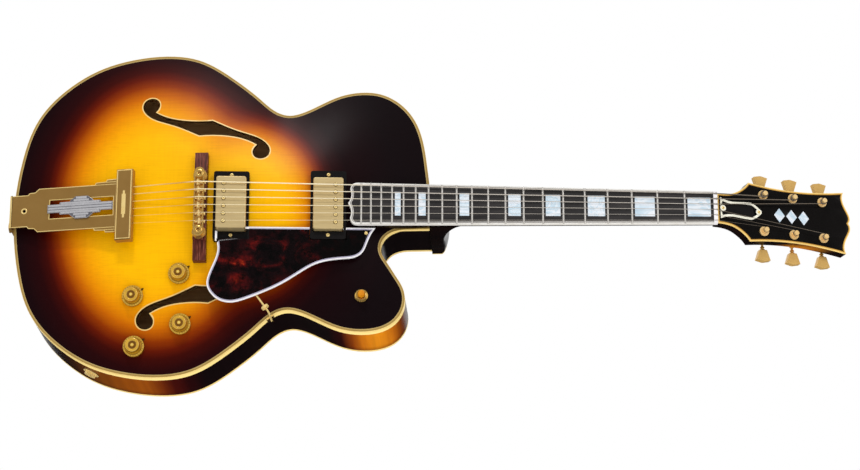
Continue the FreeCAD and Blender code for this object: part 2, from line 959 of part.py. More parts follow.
drum = board_drum(v.board_radius)
board_full = prism(closed_wire(board_runs()), -v.board_thickness, v.overrun).common(drum)
core_plan = closed_wire(board_runs(v.board_binding), v.board_binding, BOARD_SAMPLES)
board_core = prism(core_plan, -v.board_thickness, v.overrun).common(drum)
inlay_blocks = []
for fret in INLAY_FRETS:
    near = fret_distance(fret - 1) + v.inlay_margin
    far = fret_distance(fret) - v.inlay_margin
    half = board_half((near + far) / 2) * INLAY_SHARE
    inlay_blocks.append(block(Vector(-far, -half, -v.inlay_thickness), Vector(-near, half, v.overrun)))
solid_node("fingerboard", moved(board_core.cut(inlay_blocks), NECK))
board_edging = board_full.cut(board_core)


def fret_wire(fret):
    """A half-round wire bent over the board."""
    along = -fret_distance(fret)
    half = board_half(-along) - v.seat_gap
    base = v.running_fit
    ends = [Vector(along - v.fret_width / 2, 0, base), Vector(along + v.fret_width / 2, 0, base)]
    crown = Part.Arc(ends[0], Vector(along, 0, base + v.fret_height), ends[1])
    face = Part.Face(Part.Wire([crown.toShape(), straight(ends[1], ends[0]).toShape()]))
    axis = Vector(along, 0, -v.board_radius)
    spread = math.degrees(math.asin(half / v.board_radius))
    face.rotate(axis, AXIS_X, -spread)
    return face.revolve(axis, AXIS_X, 2 * spread)


frets = [moved(fret_wire(fret), NECK) for fret in range(1, FRET_COUNT + 1)]
solid_node("frets", Part.makeCompound(frets))

STRING_NUMBERS = range(STRING_COUNT)
GAUGES = [getattr(v, "gauge_%d" % (STRING_COUNT - number)) for number in STRING_NUMBERS]


def string_side(spread, number):
    """A string's distance from the centreline, from the bass string to the treble string."""
    return between(spread / 2, -spread / 2, number / (STRING_COUNT - 1))


nut_low = Vector(0, -v.nut_width / 2, -v.board_thickness)
nut_blank = block(nut_low, Vector(v.nut_thickness, v.nut_width / 2, v.overrun))
nut_break = Placement(Vector(v.nut_thickness / 2, 0, v.nut_action), Rotation(AXIS_Y, v.head_angle))
nut_slots = []
for number in STRING_NUMBERS:
    middle = string_side(v.nut_spread, number)
    half = GAUGES[number] + v.seat_gap
    nut_slots.append(block(Vector(-v.overrun, middle - half, v.nut_action),
                           Vector(v.overrun, middle + half, v.overrun)))
    flared = half + v.nut_flare
    falling = block(Vector(0, middle - flared, 0), Vector(v.overrun, middle + flared, v.overrun))
    nut_slots.append(moved(falling, nut_break))
nut_drum = board_drum(v.board_radius + v.nut_rise)
solid_node("nut", moved(nut_blank.common(nut_drum).cut(nut_slots), NECK))

# Headstock, in its own frame with the face's surface just under the nut

HEAD_NECK_SHARES = ((0.03, 0.477), (0.09, 0.482), (0.148, 0.54), (0.202, 0.677), (0.236, 0.807),
                    (0.26, 0.947))
HEAD_SIDE_SHARES = ((0.26, 0.947), (0.40, 0.87), (0.546, 0.838), (0.70, 0.858), (0.842, 0.923), (0.957, 1.0))
HEAD_TIP_SHARES = ((0.957, 1.0), (0.946, 0.82), (0.957, 0.59), (0.979, 0.386), (0.995, 0.205), (0.984, 0))


def head_runs():
    """The headstock's plan, from the nut along the treble side and back along the bass side."""
    def points(shares, side):
        half_width = side * v.head_width / 2
        return [Vector(v.head_length * along, half_width * across, 0) for along, across in shares]

    stretches = (HEAD_NECK_SHARES, HEAD_SIDE_SHARES, HEAD_TIP_SHARES)
    runs = [smooth(points(shares, TREBLE)) for shares in stretches]
    runs += [smooth(list(reversed(points(shares, BASS)))) for shares in reversed(stretches)]
    first, last = points(HEAD_NECK_SHARES, TREBLE)[0], points(HEAD_NECK_SHARES, BASS)[0]
    return runs + [straight(last, first)]


face_high = -v.head_drop
face_low = face_high - v.face_thickness
head_back = face_low - v.head_thickness
tuner_places = []
for side in SIDES:
    for number in range(TUNERS_A_SIDE):
        tuner_places.append((v.tuner_place + v.tuner_step * number, side * v.tuner_side, side))
bushing_hole = v.bushing_radius + v.running_fit
head_holes = [Part.makeCylinder(bushing_hole, 2 * v.overrun, Vector(along, across, -v.overrun))
              for along, across, side in tuner_places]


def diamond(number):
    """One lozenge of the inlaid column."""
    middle = v.diamond_place + v.diamond_step * number
    half_length, half_width = v.diamond_length / 2, v.diamond_width / 2
    corners = [Vector(middle + half_length, 0, 0), Vector(middle, half_width, 0),
               Vector(middle - half_length, 0, 0), Vector(middle, -half_width, 0)]
    wire = Part.makePolygon(corners + corners[:1])
    return prism(wire, face_high - v.inlay_thickness, face_high)


diamonds = [diamond(number) for number in range(DIAMOND_COUNT)]
face_plan = closed_wire(head_runs(), v.head_binding)
head_face = prism(face_plan, face_low, face_high)
solid_node("headstock_face", moved(head_face.cut(head_holes + diamonds), HEAD))
head_edging = prism(closed_wire(head_runs()), face_low, face_high).cut(head_face)
edging = [moved(board_edging, NECK), moved(head_edging, HEAD).cut(moved(nut_blank, NECK))]
solid_node("neck_binding", Part.makeCompound(edging))
pearl = [moved(piece.common(drum), NECK) for piece in inlay_blocks]
pearl += [moved(piece, HEAD) for piece in diamonds]
solid_node("pearl_inlays", Part.makeCompound(pearl))

# Neck, heel and the rod inside it

shaft_depths = ((-v.nut_thickness, v.neck_depth), (joint_distance / 2, (v.neck_depth + v.heel_depth) / 2),
                (joint_distance, v.heel_depth))
shaft = Part.makeLoft([shaft_section(distance, depth) for distance, depth in shaft_depths], True)
heel = Part.makeLoft([heel_section(*shares) for shares in HEEL_SHARES], True)
under_board = -v.board_thickness
extension_low = under_board - v.extension_depth
extension_plan = prism(closed_wire(board_runs(), v.extension_inset), extension_low, under_board)
over_body = block(Vector(-v.board_length - v.overrun, -v.nut_width, -reach),
                  Vector(-joint_distance + v.rim_wall, v.nut_width, reach))
extension = moved(extension_plan.common(over_body), NECK).cut(lifted(below_top, v.seat_gap))
head_blank = prism(closed_wire(head_runs()), head_back, face_low).cut(head_holes)
rod_start = Vector(v.nut_thickness - v.rod_length, 0, -v.rod_depth)
rod_channel = Part.makeCylinder(v.rod_radius + v.running_fit, v.rod_length, rod_start, AXIS_X)
rod = Part.makeCylinder(v.rod_radius, v.rod_length, rod_start, AXIS_X)
body_blank = prism(body_wire(), -v.rim_depth, 0)
neck_wood = moved(shaft, NECK).fuse([heel, extension, moved(head_blank, HEAD)])
neck_wood = neck_wood.cut([body_blank, moved(rod_channel, NECK), moved(nut_blank, NECK)]).removeSplitter()
solid_node("neck", neck_wood)
solid_node("truss_rod", moved(rod.cut(moved(body_blank, NECK.inverse())), NECK))
heel_foot = Part.Face(heel_section(*HEEL_SHARES[-1]))
heel_cap = heel_foot.extrude(Vector(0, 0, -v.heel_cap_thickness))

# Binding round the body, the sound holes and the heel

body_edging = [
    ring_prism(BODY_RUNS, v.binding_width, -v.top_thickness, 0, count=OUTLINE_SAMPLES),
    ring_prism(BODY_RUNS, v.binding_width, -v.rim_depth, rim_low, count=OUTLINE_SAMPLES),
]
f_edging = [top_slab.common(outer.cut(opening)) for outer, opening in zip(f_cuts, f_openings)]
solid_node("body_binding", Part.makeCompound(body_edging + f_edging + [heel_cap]))

# Truss rod cover

COVER_SHARES = ((0, 1.0), (0.1, 0.84), (0.2, 0.74), (0.31, 0.71), (0.45, 0.75), (0.58, 0.8), (0.74, 0.82),
                (0.8, 0.74), (0.86, 0.6), (0.93, 0.38), (1.0, 0.12))
cover_half = [(s.cover_start + s.cover_length * along, s.cover_width / 2 * across)
              for along, across in COVER_SHARES]
cover_outline = list(reversed(mirrored_outline(cover_half)))
cover_blank = padded("cover_plate", cover_outline, -s.head_drop, s.cover_thickness)
COVER_SCREW_SHARES = (0.06, 0.93)
cover_screws = [s.cover_start + s.cover_length * share for share in COVER_SCREW_SHARES]
cover_holes = [cylinder((along, 0, -s.head_drop), s.trim_screw_radius + s.running_fit, s.cover_thickness)
               for along in cover_screws]
publish(cut(cover_blank, cover_holes), "truss_rod_cover", PLAYING.multiply(HEAD))

# Tailpiece

TAIL_STEP_SHARES = ((0.15, 0.73), (0.165, 0.82), (0.22, 0.84), (0.255, 1.0), (0.79, 1.0), (0.8, 1.1),
                    (0.895, 1.12), (0.905, 1.21), (1.0, 1.22))
INSERT_SHARES = ((0, 0.34), (0.18, 0.34), (0.19, 0.5), (0.34, 0.52), (0.35, 0.62), (0.43, 0.92),
                 (0.615, 0.92), (0.69, 0.62), (0.7, 0.52), (0.81, 0.5), (0.82, 0.34), (1.0, 0.34))
bracket_back = -(s.seat_gap + s.tail_plate)
tail_half = [(bracket_back, s.tail_width / 2 * TAIL_STEP_SHARES[0][1])]
tail_half += [(s.tail_length * along, s.tail_width / 2 * across) for along, across in TAIL_STEP_SHARES]
tail_outline = list(reversed(mirrored_outline(tail_half)))
tail_plan = padded("tail_plate_blank", tail_outline, -s.tail_plate, s.tail_plate)
tail_slot = box((s.tail_slot_start, -s.tail_slot_width / 2, -s.overrun / 2),
                s.tail_slot_end - s.tail_slot_start, s.tail_slot_width, s.overrun)
tail_hole = cylinder((s.tail_hole_place, 0, -s.overrun / 2), s.tail_hole_radius, s.overrun)
tail_sheet = cut(tail_plan, [tail_slot, tail_hole])
tail_sheet.Placement = TAIL
bar_half = s.tail_bar_length / 2
bar_end = s.tail_length + s.tail_bar_width
bar_corners = [(s.tail_length, -bar_half), (bar_end, -bar_half), (bar_end, bar_half), (s.tail_length, bar_half)]
tail_bar = padded("tail_bar", bar_corners, -s.tail_bar_depth, s.tail_bar_depth + s.tail_bar_rise)
doc.recompute()
bar_slab = tail_bar.Tip
bar_edges = ["Edge%d" % number for number, edge in enumerate(bar_slab.Shape.Edges, start=1)
             if edge.BoundBox.ZMin > v.tail_bar_rise - v.running_fit]
bevel = tail_bar.newObject("PartDesign::Chamfer", "bevel")
bevel.Base = (bar_slab, bar_edges)
bind(bevel, "Size", s.tail_bar_bevel)
string_holes = []
for number in STRING_NUMBERS:
    across = s.tail_spread * (0.5 - number / (STRING_COUNT - 1))
    hole_start = (s.tail_length - s.overrun / 2, across, -s.tail_string_depth)
    string_holes.append(cylinder(hole_start, s.tail_string_hole, s.tail_bar_width + s.overrun, ALONG_X))
bar_drilled = cut(tail_bar, string_holes)
bar_drilled.Placement = TAIL
bracket_half = s.bracket_width / 2
bracket_corners = [(bracket_back, -bracket_half), (-s.seat_gap, -bracket_half), (-s.seat_gap, bracket_half),
                   (bracket_back, bracket_half)]
strap_bracket = padded("strap_bracket", bracket_corners, s.tail_height - s.bracket_drop, s.bracket_drop)
publish(fuse([tail_sheet, bar_drilled, strap_bracket]), "tailpiece", PLAYING)

insert_length = s.tail_slot_end - s.tail_slot_start + s.tail_plate
insert_half = [(s.tail_slot_start - s.tail_plate + insert_length * along, s.insert_width / 2 * across)
               for along, across in INSERT_SHARES]
insert = padded("tailpiece_insert", list(reversed(mirrored_outline(insert_half))), 0, s.insert_rise)
publish(insert, "tailpiece_insert", PLAYING.multiply(TAIL))

STRAP = Placement(Vector(float(bracket_back), 0, -v.rim_depth / 2), Rotation(AXIS_Z, -AXIS_X))
publish(turned("strap_button", [
    (0, 0), (s.strap_base, 0), (s.strap_waist, s.strap_length * 0.35), (s.strap_waist, s.strap_length * 0.6),
    (s.strap_rim, s.strap_length * 0.78), (s.strap_rim, s.strap_length * 0.92),
    (s.strap_waist, s.strap_length), (0, s.strap_length),
]), "strap_button", PLAYING.multiply(STRAP))

# Bridge

half_base = v.bridge_base_length / 2
wing = (v.bridge_length + v.seat_gap) / 2
roof = v.bridge_base_height
wing_roof = roof - v.bridge_foot_fall / 2
base_profile = [
    Vector(0, -half_base, 0), Vector(0, half_base, 0), Vector(0, half_base, roof - v.bridge_foot_fall),
    Vector(0, wing, wing_roof), Vector(0, wing, roof), Vector(0, -wing, roof), Vector(0, -wing, wing_roof),
    Vector(0, -half_base, roof - v.bridge_foot_fall),
]
base_face = Part.Face(Part.makePolygon(base_profile + base_profile[:1]))
base_face.translate(Vector(v.bridge_place - v.bridge_base_width / 2, 0, 0))
base_blank = base_face.extrude(AXIS_X * v.bridge_base_width)
archway = block(Vector(0, -v.bridge_arch_width / 2, 0), Vector(v.body_length, v.bridge_arch_width / 2, reach))
stud_places = [Vector(v.bridge_place, side * v.stud_spacing / 2, 0) for side in SIDES]
stud_low = roof - v.stud_sink
stud_holes = [Part.makeCylinder(v.stud_radius + v.running_fit, v.overrun, place + AXIS_Z * stud_low)
              for place in stud_places]
under_feet = lifted(below_top, v.running_fit)
under_arch = lifted(below_top, v.bridge_arch_height).common(archway)
solid_node("bridge_base", base_blank.cut([under_feet, under_arch] + stud_holes))

wheel_low = s.bridge_base_height + s.wheel_lift
bridge_low = wheel_low + s.wheel_height + s.seat_gap
bridge_high = bridge_low + s.bridge_height
channel_floor = bridge_high - s.bridge_channel_depth
stud_low = s.bridge_base_height - s.stud_sink
studs = [cylinder((s.bridge_place, s.stud_spacing * side / 2, stud_low), s.stud_radius,
                  bridge_high - stud_low - s.seat_gap) for side in SIDES]
publish(group(studs), "bridge_posts", PLAYING)


def centred_box(middle, length, width, low, height):
    return box((middle[0] - length / 2, middle[1] - width / 2, low), length, width, height)


bridge_middle = (s.bridge_place, s.bridge_place * 0)
bridge_straight = s.bridge_length - s.bridge_width
frame_parts = [centred_box(bridge_middle, s.bridge_width, bridge_straight, bridge_low, s.bridge_height)]
for side in SIDES:
    frame_parts.append(cylinder((s.bridge_place, bridge_straight * side / 2, bridge_low), s.bridge_width / 2,
                                s.bridge_height))
frame_cuts = [centred_box(bridge_middle, s.bridge_channel_width, s.bridge_channel_length, channel_floor,
                          s.overrun)]
for side in SIDES:
    frame_cuts.append(cylinder((s.bridge_place, s.stud_spacing * side / 2, bridge_low - s.overrun / 2),
                               s.stud_radius + s.running_fit, s.overrun))
screw_height = channel_floor + s.saddle_length / 2
screw_start = s.bridge_place - s.bridge_width / 2
saddle_sides = [s.string_spread * (0.5 - number / (STRING_COUNT - 1)) for number in STRING_NUMBERS]
for across in saddle_sides:
    frame_cuts.append(cylinder((screw_start - s.overrun / 2, across, screw_height),
                               s.saddle_screw_radius + s.running_fit, s.bridge_width + s.overrun, ALONG_X))
publish(cut(fuse(frame_parts), frame_cuts), "bridge_frame", PLAYING)

saddle_screws = []
for across in saddle_sides:
    stem = cylinder((screw_start, across, screw_height), s.saddle_screw_radius, s.bridge_width, ALONG_X)
    head = cylinder((screw_start + s.bridge_width, across, screw_height), s.saddle_screw_head,
                    s.saddle_screw_head, ALONG_X)
    saddle_screws.append(fuse([stem, head]))
publish(group(saddle_screws), "saddle_screws", PLAYING)

for side, name in ((BASS, "bass"), (TREBLE, "treble")):
    wheel = turned("thumbwheel_" + name, [
        (s.stud_radius + s.running_fit, 0), (s.wheel_radius, 0), (s.wheel_radius, s.wheel_height),
        (s.stud_radius + s.running_fit, s.wheel_height),
    ])
    wheel_point = Vector(v.bridge_place, side * v.stud_spacing / 2, float(wheel_low))
    publish(wheel, "thumbwheel_" + name, PLAYING.multiply(Placement(wheel_point, Rotation())))

# Saddles, set forward or back for the pitch of each string

INTONATION_SHARES = (-0.38, -0.2, 0.02, -0.16, 0.06, 0.26)
saddle_points = []
for number in STRING_NUMBERS:
    across = string_side(v.string_spread, number)
    height = v.string_height - across ** 2 / (2 * v.board_radius)
    along = v.bridge_place + v.saddle_length * INTONATION_SHARES[number]
    saddle_points.append(Vector(along, across, height))
    gauge = getattr(s, "gauge_%d" % (STRING_COUNT - number))
    curve_drop = saddle_sides[number] * saddle_sides[number] / (s.board_radius * 2)
    crown = s.string_height - gauge - s.running_fit * 2 - curve_drop
    foot = channel_floor + s.seat_gap
    half = s.saddle_length / 2
    blank = new_body("saddle_blank")
    profile = sketch_on(blank, "XZ_Plane", -s.saddle_width / 2)
    polygon(profile, [(-half, foot), (half, foot), (half, foot + s.saddle_length), (half / 5, crown),
                      (-half / 5, crown), (-half, foot + s.saddle_length)])
    pad = blank.newObject("PartDesign::Pad", "slab")
    pad.Profile = profile
    bind(pad, "Length", s.saddle_width)
    bore = cylinder((-s.saddle_length, 0, screw_height), s.saddle_screw_radius + s.running_fit,
                    s.saddle_length * 2, ALONG_X)
    saddle = cut(blank, [bore])
    saddle_frame = Placement(Vector(along, across, 0), Rotation())
    publish(saddle, "saddle_%d" % (STRING_COUNT - number), PLAYING.multiply(saddle_frame))

# Pickups, set parallel to the strings


def pickup_frame(place, height):
    return Placement(Vector(place, 0, height), Rotation(AXIS_Y, v.neck_angle))


def pickup_ring(frame):
    """A mounting ring whose underside follows the arch."""
    low = Vector(-v.ring_width / 2, -v.ring_length / 2, -v.ring_depth)
    blank = block(low, Vector(v.ring_width / 2, v.ring_length / 2, 0))
    upright = [edge for edge in blank.Edges if edge.BoundBox.ZLength > v.ring_depth / 2]
    blank = blank.makeFillet(v.ring_corner, upright)
    half_opening = Vector(v.pickup_width / 2 + v.ring_gap, v.pickup_length / 2 + v.ring_gap,
                          v.ring_depth + v.overrun)
    opening = block(-half_opening, half_opening)
    screw_holes = [Part.makeCylinder(v.height_screw_radius + v.running_fit, 2 * v.ring_depth,
                                     Vector(0, side * v.height_screw_side, -v.ring_depth)) for side in SIDES]
    return moved(blank.cut([opening] + screw_holes), frame).cut(under_feet)


def pickup(label, rise, pole_side, frame):
    """A covered double-coil pickup with one row of screw poles."""
    length, width, wall = s.pickup_length, s.pickup_width, s.pickup_wall
    low = rise - s.pickup_height
    shell = box((-width / 2, -length / 2, low), width, length, s.pickup_height)
    doc.recompute()
    corners = [number + 1 for number, edge in enumerate(shell.Shape.Edges)
               if edge.BoundBox.ZLength > v.pickup_height / 2]
    soft_shell = rounded(shell, corners, v.pickup_corner)
    doc.recompute()
    rim_edges = [number + 1 for number, edge in enumerate(soft_shell.Shape.Edges)
                 if edge.BoundBox.ZMin > float(rise) - v.running_fit]
    soft_shell = rounded(soft_shell, rim_edges, v.pickup_edge)
    room_length = length - wall * 2
    room_width = width - wall * 2
    room = box((-room_width / 2, -room_length / 2, low), room_width, room_length, s.pickup_height - wall)
    pole_line = s.pole_offset * pole_side
    pole_sides = [s.pole_pitch * (number - (STRING_COUNT - 1) / 2) for number in STRING_NUMBERS]
    holes = [cylinder((pole_line, across, low), s.pole_radius + s.running_fit, s.pickup_height + s.overrun)
             for across in pole_sides]
    cover = cut(soft_shell, [room] + holes)
    gap = s.running_fit
    plate = box((-room_width / 2 + s.pickup_corner, -room_length / 2 + gap, low),
                room_width - s.pickup_corner * 2, room_length - gap * 2, s.leg_plate)
    bobbin_low = low + s.leg_plate
    bobbin_height = s.pickup_height - s.leg_plate - wall - gap
    bobbins = [box((s.pole_offset * side - s.bobbin_width / 2, -room_length / 2 + s.pickup_corner, bobbin_low),
                   s.bobbin_width, room_length - s.pickup_corner * 2, bobbin_height) for side in SIDES]
    poles = [cylinder((pole_line, across, bobbin_low + bobbin_height), s.pole_radius, wall + gap + s.pole_rise)
             for across in pole_sides]
    legs = []
    for side in SIDES:
        leg_side = (room_length / 2 - gap - s.leg_plate / 2) * side
        upright = box((-s.leg_width / 2, leg_side - s.leg_plate / 2, low - s.leg_drop), s.leg_width,
                      s.leg_plate, s.leg_drop)
        toe_length = s.height_screw_side + s.height_screw_head - room_length / 2 + s.leg_plate
        toe_middle = (room_length / 2 - s.leg_plate + toe_length / 2) * side
        toe = box((-s.leg_width / 2, toe_middle - toe_length / 2, low - s.leg_drop), s.leg_width, toe_length,
                  s.leg_plate)
        thread = cylinder((0, s.height_screw_side * side, low - s.leg_drop - s.overrun / 2),
                          s.height_screw_radius + s.running_fit, s.overrun)
        legs.append(cut(fuse([upright, toe]), [thread]))
    publish(group([cover, plate] + bobbins + poles + legs), label, PLAYING.multiply(frame))


BRIDGE_PICKUP = pickup_frame(v.bridge_pickup_place, v.bridge_ring_height)
NECK_PICKUP = pickup_frame(v.neck_pickup_place, v.neck_ring_height)
solid_node("pickup_rings", Part.makeCompound([pickup_ring(BRIDGE_PICKUP), pickup_ring(NECK_PICKUP)]))
pickup("bridge_pickup", s.bridge_pickup_rise, -1, BRIDGE_PICKUP)
pickup("neck_pickup", s.neck_pickup_rise, 1, NECK_PICKUP)

# Pickguard, floating beside the strings

GUARD_SHARES = ((0.038, 0), (0.054, 0.182), (0.061, 0.288), (0.04, 0.474), (0.007, 0.66), (0.002, 0.779),
                (0.027, 0.883), (0.075, 0.967), (0.146, 0.998), (0.234, 0.951), (0.321, 0.876), (0.438, 0.756),
                (0.556, 0.595), (0.643, 0.486), (0.732, 0.432), (0.821, 0.41), (0.88, 0.388), (0.922, 0.328),
                (0.951, 0.201), (0.975, 0.08), (1.0, 0))
guard_length = v.guard_end - v.guard_start
guard_points = [Vector(guard_length * (along - 1), -between(v.guard_top, v.guard_low, across), 0)
                for along, across in GUARD_SHARES]
guard_runs = [straight(guard_points[-1], guard_points[0]), smooth(guard_points)]
guard_notches = []
for pickup_place in (v.bridge_pickup_place, v.neck_pickup_place):
    middle = pickup_place - v.guard_end
    half = v.ring_width / 2 + v.guard_gap
    guard_notches.append(block(Vector(middle - half, -v.ring_length / 2 - v.guard_gap, -reach),
                               Vector(middle + half, 0, reach)))
guard_screw = Vector(v.guard_screw_place - v.guard_end, -v.guard_screw_side, 0)
guard_hole = Part.makeCylinder(v.trim_screw_radius + v.running_fit, v.overrun,
                               guard_screw - AXIS_Z * v.overrun / 2)
guard_low_face = -v.guard_thickness
guard_count = OUTLINE_SAMPLES // 2
guard_inset = v.guard_border + v.running_fit
guard_inner = prism(closed_wire(guard_runs, guard_inset, guard_count), guard_low_face, 0)
guard_plate = guard_inner.cut(guard_notches + [guard_hole])
guard_strip = ring_prism(guard_runs, v.guard_border, guard_low_face, 0, count=guard_count)
guard_rim = guard_strip.cut(guard_notches + [guard_hole])
solid_node("pickguard", moved(Part.makeCompound([guard_plate, guard_rim]), GUARD))

# Pickguard bracket: a bent rod, its nut and foot on the rim, and a spacer at the neck end


def rim_frame(along):
    """A frame on the treble rim, with Z out of the body and X along the rim."""
    near = [point for point in body_samples if point.y < 0]
    seat = min(near, key=lambda point: abs(point.x - along))
    tangent = body_curve.tangent(body_curve.parameter(seat))[0]
    outward = Vector(tangent.y, -tangent.x, 0)
    return seat, tangent, outward


seat, tangent, outward = rim_frame(v.bracket_place)
rod_offset = v.bracket_foot_plate + v.bracket_rod_radius + 2 * v.running_fit
rod_line = seat + outward * rod_offset
guard_edge_drop = math.tan(neck_tilt) * (v.guard_end - seat.x)
rod_height = v.guard_height + guard_edge_drop - v.guard_thickness - v.bracket_rod_radius - v.bracket_rod_gap
rod_bottom = rod_line - AXIS_Z * v.bracket_foot_low
rod_corner = rod_line + AXIS_Z * rod_height
rod_end = rod_corner - outward * v.bracket_rod_reach


def bent_edges(points, bend):
    """Straight runs through the points, joined by arcs."""
    edges = []
    here = points[0]
    for before, corner, after in zip(points, points[1:], points[2:]):
        arrive = (corner - before).normalize()
        leave = (after - corner).normalize()
        turn = arrive.getAngle(leave)
        trim = bend * math.tan(turn / 2)
        start = corner - arrive * trim
        end = corner + leave * trim
        inward = (leave - arrive).normalize()
        middle = corner + inward * (bend / math.cos(turn / 2) - bend)
        edges.append(straight(here, start).toShape())
        edges.append(Part.Arc(start, middle, end).toShape())
        here = end
    edges.append(straight(here, points[-1]).toShape())
    return edges


def tube(edges, radius):
    """A round bar along the edges."""
    path = Part.Wire(edges)
    first = edges[0]
    direction = first.tangentAt(first.FirstParameter)
    circle = Part.Wire([Part.makeCircle(radius, first.valueAt(first.FirstParameter), direction)])
    return path.makePipeShell([circle], True, False)


rod_edges = bent_edges([rod_bottom, rod_corner, rod_end], v.bracket_rod_bend)
bracket_rod = tube(rod_edges, v.bracket_rod_radius)
nut_place = rod_corner - outward * (v.bracket_rod_bend + v.bracket_nut_height)
bracket_nut = Part.makeCylinder(v.bracket_nut_radius, v.bracket_nut_height, nut_place, outward)
bracket_nut = bracket_nut.cut(Part.makeCylinder(v.bracket_rod_radius + v.running_fit, v.overrun,
                                                nut_place - outward * v.overrun / 2, outward))
foot_corner = Vector(-v.bracket_foot_length / 2, -v.bracket_foot_height / 2, 0)
foot = block(foot_corner, Vector(-foot_corner.x, -foot_corner.y, v.bracket_foot_plate))
foot_turn = Rotation(tangent, AXIS_Z, outward, "ZXY")
foot_middle = seat - AXIS_Z * (v.bracket_foot_low - v.bracket_foot_height / 2)
foot = moved(foot, Placement(foot_middle, foot_turn)).cut(prism(body_wire(-v.running_fit), -v.rim_depth, 0))
spacer_top = v.guard_height + math.tan(neck_tilt) * (v.guard_end - v.guard_screw_place) - v.guard_thickness
spacer_place = Vector(v.guard_screw_place, -v.guard_screw_side, -v.top_thickness)
spacer_blank = Part.makeCylinder(v.spacer_radius, spacer_top + v.top_thickness - v.seat_gap, spacer_place)
spacer = spacer_blank.cut(under_feet)
solid_node("pickguard_bracket", Part.makeCompound([bracket_rod, bracket_nut, foot, spacer]))

# Controls

bushing_bore = s.pot_shaft + s.running_fit
pot_floor = -s.pot_drop - s.pot_height
pot_profile = [
    (0, pot_floor), (s.pot_radius, pot_floor), (s.pot_radius, -s.pot_drop), (s.pot_bushing, -s.pot_drop),
    (s.pot_bushing, s.seat_gap), (s.pot_nut, s.seat_gap), (s.pot_nut, s.seat_gap + s.pot_nut_height),
    (s.pot_bushing, s.seat_gap + s.pot_nut_height), (s.pot_bushing, s.pot_bushing_rise),
    (bushing_bore, s.pot_bushing_rise), (bushing_bore, pot_floor + s.knob_wall), (0, pot_floor + s.knob_wall),
]
bore_top = s.knob_height - s.knob_recess - s.knob_wall
hub_low = s.pot_bushing_rise - s.knob_gap + s.seat_gap
knob_bore = s.pot_shaft + s.running_fit
knob_profile = [
    (0, bore_top), (knob_bore, bore_top), (knob_bore, hub_low), (s.knob_hub, hub_low), (s.knob_hub, bore_top),
    (s.knob_crown - s.knob_wall, bore_top), (s.knob_shoulder - s.knob_wall, s.knob_brim_height),
    (s.knob_brim - s.knob_wall, s.knob_brim_height - s.knob_wall), (s.knob_brim - s.knob_wall, 0),
    (s.knob_brim, 0),
    (s.knob_brim, s.knob_brim_height), (s.knob_shoulder, s.knob_brim_height + s.knob_recess),
    (s.knob_crown, s.knob_height), (s.knob_hub, s.knob_height), (s.knob_hub, s.knob_height - s.knob_recess),
    (0, s.knob_height - s.knob_recess),
]
shaft_low = pot_floor + s.knob_wall + s.seat_gap - s.knob_gap
pots = []
for name, (along, across) in KNOB_PLACES.items():
    seat_frame = top_frame(along, across)
    pot = turned(name + "_pot", pot_profile)
    pot.Placement = seat_frame
    pots.append(pot)
    knob_shaft = cylinder((0, 0, shaft_low), s.pot_shaft, bore_top - shaft_low - s.running_fit)
    knob = group([turned(name + "_cap", knob_profile), knob_shaft])
    publish(knob, name + "_knob", PLAYING.multiply(top_frame(along, across, v.knob_gap)))

switch_low = s.switch_rise - s.switch_depth
switch_shelf = -s.top_thickness - s.knob_gap
switch_seat = s.seat_gap
switch_case = turned("switch_case", [
    (0, switch_low), (s.switch_radius, switch_low), (s.switch_radius, switch_shelf),
    (s.switch_collar, switch_shelf), (s.switch_collar, switch_seat), (s.switch_washer, switch_seat),
    (s.switch_washer, s.switch_rise / 2), (s.switch_collar, s.switch_rise), (s.switch_bore, s.switch_rise),
    (s.switch_bore, switch_low + s.knob_wall), (0, switch_low + s.knob_wall),
])
SWITCH = top_frame(*SWITCH_PLACE)
switch_case.Placement = SWITCH
publish(group(pots + [switch_case]), "controls", PLAYING)

ball_wide = s.lever_ball
ball_near = s.lever_ball * BALL_SHARE
ball_rise = s.lever_ball * BALL_SHARE
tip_low = s.switch_rise + s.lever_tip + s.lever_pivot
lever_top = s.lever_rise + s.lever_pivot
tip_near = s.lever_tip * BALL_SHARE
stalk = turned("lever_stalk", [
    (0, -s.lever_tail), (s.lever_radius, -s.lever_tail), (s.lever_radius, -ball_wide), (ball_near, -ball_rise),
    (ball_wide, 0), (ball_near, ball_rise), (s.lever_radius, ball_wide), (s.lever_radius, tip_low),
    (tip_near, tip_low), (s.lever_tip, lever_top - s.lever_tip), (tip_near, lever_top), (0, lever_top),
])
pin_half = s.switch_bore - s.seat_gap
pivot_pin = cylinder((-pin_half, 0, 0), s.lever_pin, pin_half * 2, ALONG_X)
lever = fuse([stalk, pivot_pin])
publish(lever, "switch_lever", PLAYING.multiply(top_frame(*SWITCH_PLACE, -v.lever_pivot)))

washer_seat = s.running_fit
washer_top = s.knob_gap + s.running_fit
jack = turned("output_jack", [
    (s.jack_bore, -s.jack_depth), (s.jack_sleeve, -s.jack_depth), (s.jack_sleeve, washer_seat),
    (s.jack_washer, washer_seat), (s.jack_washer, washer_top), (s.jack_nut, washer_top),
    (s.jack_nut, washer_top + s.jack_nut_height), (s.jack_bore, washer_top + s.jack_nut_height),
])
publish(jack, "output_jack", PLAYING.multiply(JACK))

# Tuners: housings and bushings, with a turning post and a turning button for each string

